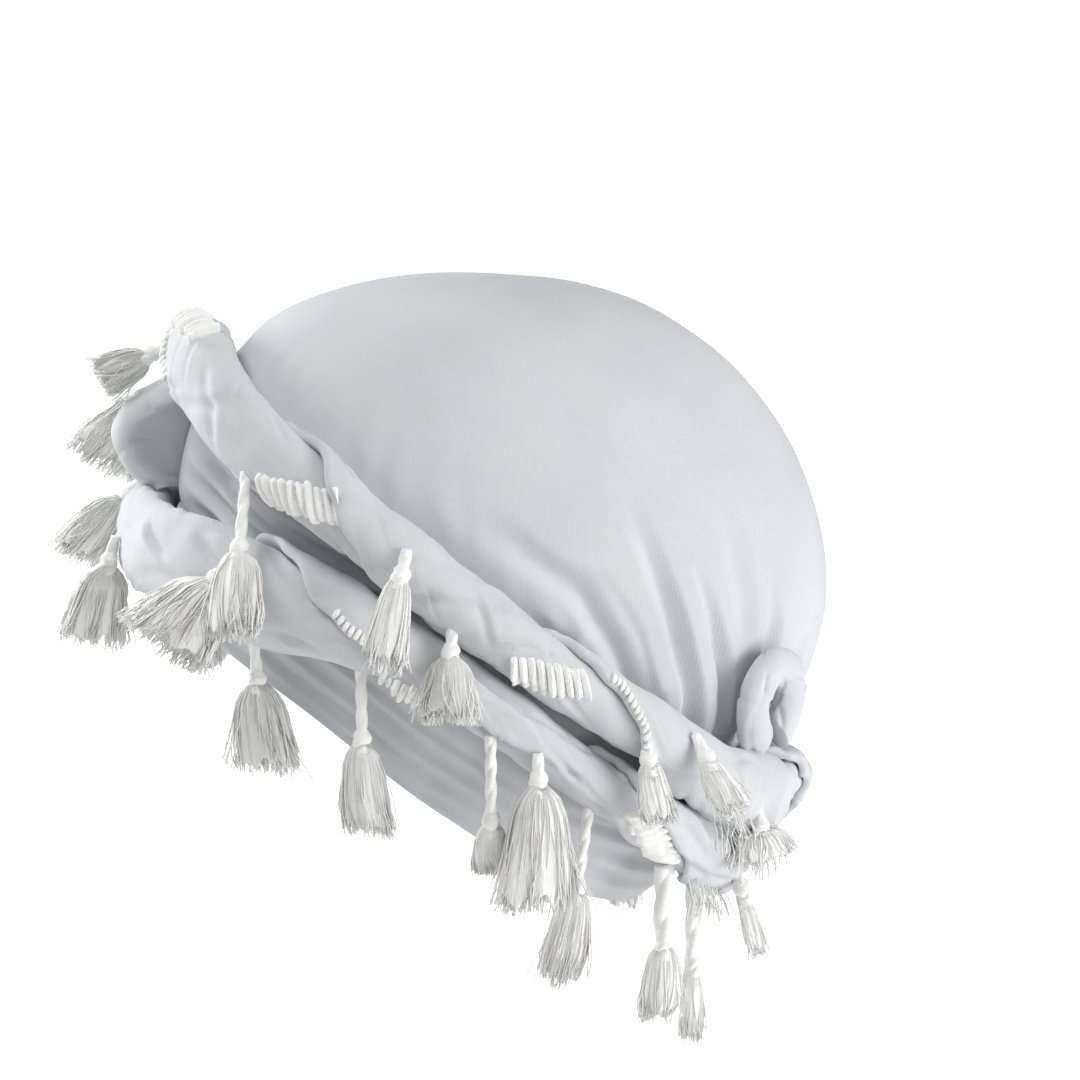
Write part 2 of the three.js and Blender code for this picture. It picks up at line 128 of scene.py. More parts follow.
@dataclass
class Patch:
    """Points and faces of a surface, with the place of each face corner on the cloth."""

    points: Array
    quads: Array
    triangles: Array
    quad_uv: Array
    triangle_uv: Array

    @staticmethod
    def grid(
        points: Array,
        uv: Array,
        close_rows: bool = False,
        close_columns: bool = True,
        poles: tuple[Array | None, Array | None] = (None, None),
        flip: bool = False,
    ) -> "Patch":
        """Surface through a grid of points: each cell is a face, and a pole closes a first or last row.

        Args:
            points: Grid by row and column.
            uv: Place on the cloth of each grid point, with one row or column more where the grid closes.
            close_rows: The last row meets the first.
            close_columns: The last column meets the first.
            poles: Points that close the first and the last row.
            flip: Turns the faces round. Without it, a column after the other crossed with a row after
                the other points out.

        Returns:
            The surface.
        """
        rows, columns = points.shape[:2]
        index = np.arange(rows * columns).reshape(rows, columns)
        if close_columns:
            index = np.concatenate([index, index[:, :1]], axis=1)
        if close_rows:
            index = np.concatenate([index, index[:1]], axis=0)
        uv = uv[: index.shape[0], : index.shape[1]]
        corners = (slice(None, -1), slice(None, -1)), (slice(None, -1), slice(1, None))
        corners += (slice(1, None), slice(1, None)), (slice(1, None), slice(None, -1))
        quads = np.stack([index[c] for c in corners], axis=-1).reshape(-1, 4)
        quad_uv = np.stack([uv[c] for c in corners], axis=-2).reshape(-1, 4, 2)
        cloud, fans, fan_uv = [points.reshape(-1, 3)], [], []
        for pole, row, turned in ((poles[0], 0, True), (poles[1], -1, False)):
            if pole is None:
                continue
            tip = np.full(index.shape[1] - 1, rows * columns + len(cloud) - 1)
            cloud.append(np.asarray(pole, dtype=float).reshape(1, 3))
            near, far = index[row, :-1], index[row, 1:]
            near_uv, far_uv = uv[row, :-1], uv[row, 1:]
            tip_uv = 0.5 * (near_uv + far_uv)
            order = (tip, far, near) if turned else (tip, near, far)
            order_uv = (tip_uv, far_uv, near_uv) if turned else (tip_uv, near_uv, far_uv)
            fans.append(np.stack(order, axis=-1))
            fan_uv.append(np.stack(order_uv, axis=-2))
        triangles = np.concatenate(fans) if fans else np.zeros((0, 3), dtype=int)
        triangle_uv = np.concatenate(fan_uv) if fans else np.zeros((0, 3, 2))
        if flip:
            quads, quad_uv = quads[:, ::-1], quad_uv[:, ::-1]
            triangles, triangle_uv = triangles[:, ::-1], triangle_uv[:, ::-1]
        return Patch(np.concatenate(cloud), quads, triangles, quad_uv, triangle_uv)

    @staticmethod
    def tubes(rings: Array, along: Array) -> "Patch":
        """Closed tubes through rings of points, each end closed by a fan to its middle.

        Args:
            rings: Points by tube, ring and side, the sides turning right-handed along the tube.
            along: Length along the tube at each ring, by tube and ring.

        Returns:
            All the tubes as one surface.
        """
        count, stations, sides = rings.shape[:3]
        grid = np.arange(stations * sides).reshape(stations, sides)
        grid = np.concatenate([grid, grid[:, :1]], axis=1)
        corners = grid[:-1, :-1], grid[:-1, 1:], grid[1:, 1:], grid[1:, :-1]
        quads = np.stack(corners, axis=-1).reshape(-1, 4)
        first, last = stations * sides, stations * sides + 1
        side = np.arange(sides)
        after = (side + 1) % sides
        start = np.stack([np.full(sides, first), after, side], axis=-1)
        end = np.stack([np.full(sides, last), side, after], axis=-1) + [0, first - sides, first - sides]
        fans = np.concatenate([start, end])
        points = np.concatenate(
            [rings.reshape(count, -1, 3), rings[:, :1].mean(axis=2), rings[:, -1:].mean(axis=2)], axis=1
        )
        turn = np.broadcast_to(np.arange(sides + 1) / sides, (count, stations, sides + 1))
        length = np.broadcast_to(along[..., None], turn.shape)
        uv = np.stack([turn, length], axis=-1)
        cells = uv[:, :-1, :-1], uv[:, :-1, 1:], uv[:, 1:, 1:], uv[:, 1:, :-1]
        flat_uv = uv[:, :, :-1].reshape(count, -1, 2)
        cap_uv = np.concatenate([flat_uv, uv[:, 0, :1], uv[:, -1, :1]], axis=1)
        shift = (np.arange(count) * points.shape[1])[:, None, None]
        return Patch(
            points.reshape(-1, 3),
            (quads[None] + shift).reshape(-1, 4),
            (fans[None] + shift).reshape(-1, 3),
            np.stack(cells, axis=-2).reshape(-1, 4, 2),
            cap_uv[:, fans].reshape(-1, 3, 2),
        )

    @staticmethod
    def joined(patches: Sequence["Patch"]) -> "Patch":
        """Several surfaces as one.

        Args:
            patches: The surfaces.

        Returns:
            One surface with all their points and faces.
        """
        starts = np.cumsum([0] + [len(p.points) for p in patches])
        return Patch(
            np.concatenate([p.points for p in patches]),
            np.concatenate([p.quads + s for p, s in zip(patches, starts)]),
            np.concatenate([p.triangles + s for p, s in zip(patches, starts)]),
            np.concatenate([p.quad_uv for p in patches]),
            np.concatenate([p.triangle_uv for p in patches]),
        )

    def to_object(self, name: str) -> bpy.types.Object:
        """Mesh object at the origin with these points and faces, smooth, and its map named cloth.

        Args:
            name: The object's name.

        Returns:
            The object, linked into the scene.
        """
        mesh = bpy.data.meshes.new(name)
        corners = np.concatenate([self.quads.ravel(), self.triangles.ravel()]).astype(np.int32)
        starts = np.concatenate(
            [4 * np.arange(len(self.quads)), self.quads.size + 3 * np.arange(len(self.triangles))]
        ).astype(np.int32)
        uv = np.concatenate([self.quad_uv.reshape(-1, 2), self.triangle_uv.reshape(-1, 2)])
        mesh.vertices.add(len(self.points))
        mesh.vertices.foreach_set("co", self.points.astype(np.float32).ravel())
        mesh.loops.add(len(corners))
        mesh.loops.foreach_set("vertex_index", corners)
        mesh.polygons.add(len(starts))
        mesh.polygons.foreach_set("loop_start", starts)
        mesh.polygons.foreach_set("use_smooth", np.ones(len(starts), dtype=bool))
        mesh.uv_layers.new(name="cloth").data.foreach_set("uv", uv.astype(np.float32).ravel())
        mesh.update(calc_edges=True)
        piece = bpy.data.objects.new(name, mesh)
        bpy.context.scene.collection.objects.link(piece)
        return piece


class NodeBench:
    """A node tree that is being wired."""

    def __init__(self, tree: bpy.types.NodeTree) -> None:
        """Works on an empty tree."""
        self.tree = tree
        self.tree.nodes.clear()

    def add(self, kind: str, inputs: dict[str, object] | None = None, **settings: object) -> bpy.types.Node:
        """Adds a node.

        Args:
            kind: The node's type, without the word ShaderNode.
            inputs: What each named socket takes: a socket to link from, or a value.
            settings: The node's own properties.

        Returns:
            The node.
        """
        node = self.tree.nodes.new(kind if kind.startswith("NodeGroup") else "ShaderNode" + kind)
        for name, value in settings.items():
            setattr(node, name, value)
        for name, value in (inputs or {}).items():
            self.feed(node.inputs[name], value)
        return node

    def feed(self, socket: Socket, value: object) -> None:
        """Links a socket from another, or sets its value.

        Args:
            socket: The socket that takes it.
            value: A socket to link from, or a value.
        """
        if isinstance(value, Socket):
            self.tree.links.new(value, socket)
        else:
            socket.default_value = value

    def math(self, operation: str, *terms: object) -> Socket:
        """Adds a Math node.

        Args:
            operation: What it works out.
            terms: Sockets or numbers that it works on.

        Returns:
            The result's socket.
        """
        node = self.add("Math", operation=operation)
        for socket, term in zip(node.inputs, terms):
            self.feed(socket, term)
        return node.outputs[0]

    def mapped(self, value: Socket, low: float, high: float, to_low: float, to_high: float) -> Socket:
        """A value carried from one range to another, held at the ends."""
        span = {"From Min": low, "From Max": high, "To Min": to_low, "To Max": to_high}
        return self.add("MapRange", {"Value": value, **span}).outputs["Result"]


def new_group(name: str, inputs: dict[str, str], outputs: dict[str, str]) -> bpy.types.NodeTree:
    """Empty shader node group with named sockets.

    Args:
        name: The group's name.
        inputs: Socket type of each input, without the word NodeSocket.
        outputs: Socket type of each output.

    Returns:
        The group.
    """
    group = bpy.data.node_groups.new(name, "ShaderNodeTree")
    for label, kind in inputs.items():
        group.interface.new_socket(label, in_out="INPUT", socket_type="NodeSocket" + kind)
    for label, kind in outputs.items():
        group.interface.new_socket(label, in_out="OUTPUT", socket_type="NodeSocket" + kind)
    return group


@functools.cache
def knit_group() -> bpy.types.NodeTree:
    """Plain knit: wales of V-shaped stitches, on cloth coordinates in metres.

    Across a wale the height is half a sine, and down it another sine whose phase grows towards the
    wale's sides, so each course is a row of Vs. The second output tells loose yarn from tight.

    Returns:
        The group, made once.
    """
    outputs = {"Height": "Float", "Loose": "Float"}
    group = new_group("plain_knit", {"Cloth": "Vector", "Pitch": "Float"}, outputs)
    bench = NodeBench(group)
    given = bench.add("NodeGroupInput")
    split = bench.add("SeparateXYZ", {"Vector": given.outputs["Cloth"]})
    wale = bench.math("FRACT", bench.math("DIVIDE", split.outputs["X"], given.outputs["Pitch"]))
    side = bench.math("ABSOLUTE", bench.math("MULTIPLY_ADD", wale, 2.0, -1.0))
    course = bench.math("DIVIDE", split.outputs["Y"], bench.math("MULTIPLY", given.outputs["Pitch"], 0.8))
    phase = bench.math("MULTIPLY_ADD", side, 0.7, course)
    stitch = bench.math("SINE", bench.math("MULTIPLY", phase, 2.0 * np.pi))
    across = bench.math("SINE", bench.math("MULTIPLY", wale, np.pi))
    height = bench.math("MULTIPLY_ADD", stitch, 0.3, bench.math("MULTIPLY", across, 0.7))
    patchy = bench.add("TexNoise", {"Vector": given.outputs["Cloth"], "Scale": 260.0, "Detail": 3.0})
    done = bench.add("NodeGroupOutput")
    bench.feed(done.inputs["Height"], height)
    bench.feed(done.inputs["Loose"], patchy.outputs["Fac"])
    return group


@functools.cache
def yarn_group() -> bpy.types.NodeTree:
    """Twisted yarn: plies that wind round a strand, on its turn and length.

    The height is a sine of the turn plus the length over the pitch, so its ridges wind round.

    Returns:
        The group, made once.
    """
    group = new_group("twisted_yarn", {"Cloth": "Vector", "Pitch": "Float"}, {"Height": "Float"})
    bench = NodeBench(group)
    given = bench.add("NodeGroupInput")
    split = bench.add("SeparateXYZ", {"Vector": given.outputs["Cloth"]})
    turns = bench.math("DIVIDE", split.outputs["Y"], given.outputs["Pitch"])
    wound = bench.math("ADD", split.outputs["X"], turns)
    ridge = bench.math("SINE", bench.math("MULTIPLY", wound, 4.0 * np.pi))
    done = bench.add("NodeGroupOutput")
    bench.feed(done.inputs["Height"], bench.math("MULTIPLY_ADD", ridge, 0.5, 0.5))
    return group


@functools.cache
def tone_group() -> bpy.types.NodeTree:
    """Slow drift of a cloth's tone over the object, and flecks, from two sizes of noise in space.

    Returns:
        The group, made once.
    """
    outputs = {"Tone": "Float", "Fleck": "Float"}
    group = new_group("cloth_tone", {"Place": "Vector", "Scale": "Float"}, outputs)
    bench = NodeBench(group)
    given = bench.add("NodeGroupInput")
    place, scale = given.outputs["Place"], given.outputs["Scale"]
    slow = bench.add("TexNoise", {"Vector": place, "Scale": scale, "Detail": 4.0})
    fine = bench.add("TexNoise", {"Vector": place, "Scale": 900.0, "Detail": 2.0})
    done = bench.add("NodeGroupOutput")
    bench.feed(done.inputs["Tone"], slow.outputs["Fac"])
    bench.feed(done.inputs["Fleck"], fine.outputs["Fac"])
    return group


def empty_material(name: str) -> tuple[bpy.types.Material, NodeBench, bpy.types.Node]:
    """New material with only a Principled shader and its output.

    Args:
        name: The material's name.

    Returns:
        The material, the bench for its nodes and the shader.
    """
    material = bpy.data.materials.new(name)
    material.use_nodes = True
    bench = NodeBench(material.node_tree)
    shader = bench.add("BsdfPrincipled")
    bench.add("OutputMaterial", {"Surface": shader.outputs["BSDF"]})
    return material, bench, shader


# Share of the flecks in a cloth's tone, and where on the ramp its two tones stand.
FLECK_SHARE = 0.35
TONE_STOPS = (0.34, 0.66)


def drifting_colour(bench: NodeBench, scale: float, light: Sequence[float], deep: Sequence[float]) -> Socket:
    """Colour that drifts between two tones over the object, with fine flecks.

    Args:
        bench: The material's nodes.
        scale: Scale of the slow drift.
        light: The lighter tone.
        deep: The deeper tone.

    Returns:
        The colour's socket.
    """
    place = bench.add("TexCoord").outputs["Object"]
    tone = bench.add("Group", {"Place": place, "Scale": scale}, node_tree=tone_group())
    slow = bench.math("MULTIPLY", tone.outputs["Tone"], 1.0 - FLECK_SHARE)
    share = bench.math("MULTIPLY_ADD", tone.outputs["Fleck"], FLECK_SHARE, slow)
    ramp = bench.add("ValToRGB", {"Fac": share})
    for stop, place_on_ramp, shade in zip(ramp.color_ramp.elements, TONE_STOPS, (deep, light)):
        stop.position = place_on_ramp
        stop.color = (*shade, 1.0)
    return ramp.outputs["Color"]


@dataclass(frozen=True)
class Finish:
    """A cloth's finish.

    Attributes:
        name: The material's name.
        slot: The record's slot.
        light: The lighter tone.
        deep: The deeper tone.
        drift: Scale of the drift between the tones.
        pitch: Pitch of the weave in metres.
        bump: Strength of the weave's relief.
        depth: Depth of the weave's relief in metres.
        sheen: Weight of the sheen.
        sheen_roughness: Roughness of the sheen.
        specular: Level of the gloss.
    """

    name: str
    slot: Slot
    light: tuple[float, float, float]
    deep: tuple[float, float, float]
    drift: float
    pitch: float
    bump: float
    depth: float
    sheen: float
    sheen_roughness: float
    specular: float

    def weave(self, bench: NodeBench) -> tuple[Socket, Socket]:
        """Height and roughness of the weave, which each finish works out in its own way."""
        raise NotImplementedError

    def material(self) -> bpy.types.Material:
        """The finish's material, made once and found by its name after that.

        Returns:
            The material.
        """
        found = bpy.data.materials.get(self.name)
        if found:
            return found
        material, bench, shader = empty_material(self.name)
        height, roughness = self.weave(bench)
        relief = bench.add("Bump", {"Height": height, "Strength": self.bump, "Distance": self.depth})
        sockets = {
            "Base Color": drifting_colour(bench, self.drift, self.light, self.deep),
            "Roughness": roughness,
            "Normal": relief.outputs["Normal"],
            "Sheen Weight": self.sheen,
            "Sheen Roughness": self.sheen_roughness,
            "Specular IOR Level": self.specular,
        }
        for socket, value in sockets.items():
            bench.feed(shader.inputs[socket], value)
        return material


@dataclass(frozen=True)
class JerseyFinish(Finish):
    """Cotton jersey: a fine plain knit, matt, cool white."""

    name: str = "cotton_jersey"
    slot: Slot = Slot.JERSEY
    light: tuple[float, float, float] = (0.645, 0.667, 0.69)
    deep: tuple[float, float, float] = (0.59, 0.612, 0.638)
    drift: float = 30.0
    pitch: float = 0.9 * MM
    bump: float = 0.5
    depth: float = 0.12 * MM
    sheen: float = 0.12
    sheen_roughness: float = 0.45
    specular: float = 0.2

    def weave(self, bench: NodeBench) -> tuple[Socket, Socket]:
        """Stitches of the knit with loose yarn added to them, rougher where the yarn is loose.

        Args:
            bench: The material's nodes.

        Returns:
            Sockets of the height and the roughness.
        """
        cloth = bench.add("UVMap", uv_map="cloth").outputs["UV"]
        knit = bench.add("Group", {"Cloth": cloth, "Pitch": self.pitch}, node_tree=knit_group())
        loose = knit.outputs["Loose"]
        height = bench.math("MULTIPLY_ADD", loose, 0.9, knit.outputs["Height"])
        return height, bench.mapped(loose, 0.3, 0.7, 0.84, 0.96)


@dataclass(frozen=True)
class SatinFinish(Finish):
    """Lining satin: long smooth floats with a soft gloss."""

    name: str = "lining_satin"
    slot: Slot = Slot.SATIN
    light: tuple[float, float, float] = (0.86, 0.86, 0.855)
    deep: tuple[float, float, float] = (0.80, 0.80, 0.80)
    drift: float = 40.0
    pitch: float = 0.5 * MM
    bump: float = 0.2
    depth: float = 0.1 * MM
    sheen: float = 0.1
    sheen_roughness: float = 0.5
    specular: float = 0.5
    float_stretch: float = 0.04

    def weave(self, bench: NodeBench) -> tuple[Socket, Socket]:
        """Floats: noise that is drawn out along the cloth, rougher where it is high.

        Args:
            bench: The material's nodes.

        Returns:
            Sockets of the height and the roughness.
        """
        cloth = bench.add("UVMap", uv_map="cloth").outputs["UV"]
        scale = (1.0 / self.pitch, self.float_stretch / self.pitch, 1.0)
        drawn = bench.add("Mapping", {"Vector": cloth, "Scale": scale}).outputs["Vector"]
        floats = bench.add("TexNoise", {"Vector": drawn, "Scale": 1.0, "Detail": 2.0}).outputs["Fac"]
        return floats, bench.mapped(floats, 0.3, 0.7, 0.26, 0.40)


@dataclass(frozen=True)
class CottonFinish(Finish):
    """Cotton yarn of the fringe: twisted, matt, a little creamier than the jersey."""

    name: str = "cotton_yarn"
    slot: Slot = Slot.COTTON
    light: tuple[float, float, float] = (0.95, 0.95, 0.925)
    deep: tuple[float, float, float] = (0.88, 0.88, 0.85)
    drift: float = 120.0
    pitch: float = 1.6 * MM
    bump: float = 0.5
    depth: float = 0.12 * MM
    sheen: float = 0.15
    sheen_roughness: float = 0.4
    specular: float = 0.2

    def weave(self, bench: NodeBench) -> tuple[Socket, Socket]:
        """Plies of the yarn, smoother on their ridges.

        Args:
            bench: The material's nodes.

        Returns:
            Sockets of the height and the roughness.
        """
        cloth = bench.add("UVMap", uv_map="cloth").outputs["UV"]
        yarn = bench.add("Group", {"Cloth": cloth, "Pitch": self.pitch}, node_tree=yarn_group())
        height = yarn.outputs["Height"]
        return height, bench.mapped(height, 0.0, 1.0, 0.95, 0.82)


JERSEY, SATIN, COTTON = JerseyFinish(), SatinFinish(), CottonFinish()


def dress(piece: bpy.types.Object, finish: Finish, *nodes: str) -> bpy.types.Object:
    """Gives a piece its finish and body, hides the CAD nodes that it stands for, and logs its slot.

    Args:
        piece: The piece.
        finish: Its finish.
        nodes: Names of the CAD nodes that it replaces.

    Returns:
        The piece.
    """
    piece.data.materials.append(finish.material())
    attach(piece, BODY)
    if nodes:
        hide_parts(*nodes)
    log.info("%s: %d faces, %s", piece.name, len(piece.data.polygons), finish.slot.value)
    return piece


def shift_to_node(form: Array, node: str) -> Array:
    """Move that brings the middle of a plain form's box to the middle of a CAD node's box.

    Args:
        form: Points of the plain form.
        node: The CAD node's name.

    Returns:
        The move.
    """
    low, high = (np.array(corner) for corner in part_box(node))
    flat = form.reshape(-1, 3)
    return 0.5 * (low + high) - 0.5 * (flat.min(axis=0) + flat.max(axis=0))


@dataclass(frozen=True)
class AzimuthTable:
    """Values every 30 degrees from the brow to the nape, the same on both sides, in millimetres."""

    values: tuple[float, ...]

    def at(self, azimuth: Array) -> Array:
        """Value at each azimuth, on a cubic curve through the table.

        At each entry the curve's slope is half the step from the entry before to the one after.

        Args:
            azimuth: Azimuths.

        Returns:
            Values in metres.
        """
        table = np.array(self.values) * MM
        last = len(table) - 1
        turned = np.abs((np.asarray(azimuth) + np.pi) % (2.0 * np.pi) - np.pi)
        place = turned / np.pi * last
        i = np.minimum(np.floor(place), last - 1).astype(int)
        t = place - i
        a, b = table[np.abs(i - 1)], table[i]
        c, d = table[i + 1], table[last - np.abs(last - (i + 2))]
        bend = 2.0 * a - 5.0 * b + 4.0 * c - d + (3.0 * (b - c) + d - a) * t
        return b + 0.5 * t * (c - a + t * bend)


@dataclass(frozen=True)
class HeadForm:
    """Head that the crown is stretched over: a distance from the centre in each direction."""

    half_breadth: float = 80 * MM
    front_reach: float = 106 * MM
    back_reach: float = 103 * MM
    rise: float = 104 * MM
    round_square: float = 2.0
    brow_square: float = 3.4
    side_square: float = 2.7
    nape_square: float = 1.6
    halvings: int = 40

    @staticmethod
    def direction(azimuth: Array, polar: Array) -> Array:
        """Unit vectors from the head's centre.

        Args:
            azimuth: Azimuths: 0 is the front and 90 degrees the wearer's left.
            polar: Polar angles: 0 is the top.

        Returns:
            The vectors.
        """
        azimuth, polar = np.broadcast_arrays(azimuth, polar)
        level = np.sin(polar)
        return np.stack([level * np.sin(azimuth), -level * np.cos(azimuth), np.cos(polar)], axis=-1)

    def radius(self, azimuth: Array, polar: Array) -> Array:
        """Distance to the form: a superellipse upright, over an ellipse in plan.

        Args:
            azimuth: Azimuths.
            polar: Polar angles.

        Returns:
            Distances from the centre.
        """
        forward, up = np.cos(azimuth), np.cos(polar)
        reach = np.where(forward > 0.0, self.front_reach, self.back_reach)
        plan = 1.0 / np.hypot(np.sin(azimuth) / self.half_breadth, forward / reach)
        above = self.round_square + (self.brow_square - self.round_square) * ((1.0 + forward) / 2.0) ** 2
        middle = np.where(forward > 0.0, self.round_square, self.nape_square)
        below = middle + (self.side_square - middle) * np.sin(azimuth) ** 2
        square = np.where(up > 0.0, above, below)
        across = (np.abs(np.sin(polar)) / plan) ** square
        along = (np.abs(up) / self.rise) ** square
        return (across + along) ** (-1.0 / square)

    def point(self, azimuth: Array, polar: Array, sink: Array | float = 0.0) -> Array:
        """Points of the form, moved a sink towards the centre."""
        return self.direction(azimuth, polar) * (self.radius(azimuth, polar) - sink)[..., None]

    def normal(self, azimuth: Array, polar: Array) -> Array:
        """Outward normals of the form: its southward slope crossed with its eastward slope.

        Args:
            azimuth: Azimuths.
            polar: Polar angles.

        Returns:
            Unit vectors.
        """
        east = self.point(azimuth + SLOPE_STEP, polar) - self.point(azimuth - SLOPE_STEP, polar)
        south = self.point(azimuth, polar + SLOPE_STEP) - self.point(azimuth, polar - SLOPE_STEP)
        return unit(np.cross(south, east))

    def polar_at_height(self, azimuth: Array, height: Array) -> Array:
        """Where each azimuth's meridian is at a height, by halving the span that holds it.

        Args:
            azimuth: Azimuths.
            height: Height at each of them.

        Returns:
            Polar angles.
        """
        low = np.zeros(np.shape(azimuth))
        high = np.full(np.shape(azimuth), np.pi)
        for _ in range(self.halvings):
            middle = 0.5 * (low + high)
            above = self.point(azimuth, middle)[..., 2] > height
            low, high = np.where(above, middle, low), np.where(above, high, middle)
        return low


HEAD = HeadForm()
RIM = AzimuthTable((8, -7, -42, -72, -86, -88, -87))


@dataclass(frozen=True)
class Crease:
    """A family of creases that wind round a roll.

    Attributes:
        count: Creases round the roll.
        twist: Turns that each makes round the roll in one way round the head.
        depth: Depth in metres.
        width: Width, as a share of a crease's part of the roll.
        seed: Picks where the creases come and go.
        push: How far noise pushes a crease to and fro, in radians.
        push_size: Size of that noise in metres.
        patch_size: Size in metres of the patches in which creases show.
        ridge: Height of the ridge beside a crease, as a share of its depth.
        ridge_place: Distance of that ridge, in widths.
    """

    count: int
    twist: int
    depth: float
    width: float
    seed: int
    push: float = 1.5
    push_size: float = 26 * MM
    patch_size: float = 22 * MM
    ridge: float = 0.45
    ridge_place: float = 1.7

    def lift(self, place: Array, azimuth: Array, around: Array) -> Array:
        """How far the creases lift the cloth, below 0 in their valleys.

        A crease is a bell-shaped valley of the sine of its phase, with a lower ridge on one side; its
        phase is its count times the angle round plus its twist times the azimuth, pushed to and fro by
        noise.

        Args:
            place: Points of the plain roll.
            azimuth: Azimuths.
            around: Angles round the roll.

        Returns:
            Lifts in metres.
        """
        push = self.push * cloth_noise(place, self.push_size, self.seed)
        across = np.sin(0.5 * (self.count * (around + self.twist * azimuth) + push + self.seed))
        shown = smooth_step(cloth_noise(place, self.patch_size, self.seed + 7), -0.15, 0.45)
        valley = np.exp(-((across / self.width) ** 2))
        ridge = np.exp(-(((across - self.ridge_place * self.width) / self.width) ** 2))
        return self.depth * shown * (self.ridge * ridge - valley)


@dataclass(frozen=True)
class Rumple:
    """A bunched part of a roll: azimuth and spread in degrees, height in metres."""

    azimuth: float
    spread: float
    height: float
    seed: int

    def lift(self, place: Array, azimuth: Array) -> Array:
        """How far the part stands out: a bell of the azimuth, times noise with narrow folds in it.

        Args:
            place: Points of the plain roll.
            azimuth: Azimuths.

        Returns:
            Lifts in metres.
        """
        bell = self.height * np.exp(-(((np.degrees(azimuth) - self.azimuth) / self.spread) ** 2))
        folds = np.abs(cloth_noise(place, 13 * MM, self.seed + 1))
        return bell * (0.5 + 1.4 * cloth_noise(place, 17 * MM, self.seed) - 1.6 * (0.35 - folds).clip(0.0))


@dataclass(frozen=True)
class Bulge:
    """A soft lump on a roll: azimuth and angle round, their spreads in degrees, and lift in metres."""

    azimuth: float
    around: float
    spread: float
    spread_around: float
    lift: float

    def at(self, azimuth: Array, around: Array) -> Array:
        """Lift of the lump, which falls off as a bell of the distances in both angles.

        Args:
            azimuth: Azimuths.
            around: Angles round the roll.

        Returns:
            Lifts in metres.
        """
        aside = (np.degrees(azimuth) - self.azimuth + 180.0) % 360.0 - 180.0
        turned = (np.degrees(around) - self.around + 180.0) % 360.0 - 180.0
        return self.lift * np.exp(-((aside / self.spread) ** 2) - (turned / self.spread_around) ** 2)


# Waves of a roll's lip: size in radians, waves round the head, and how they start with the seed.
LIP_WAVES = ((0.13, 11.0, 1.0), (0.09, 23.0, 2.0))


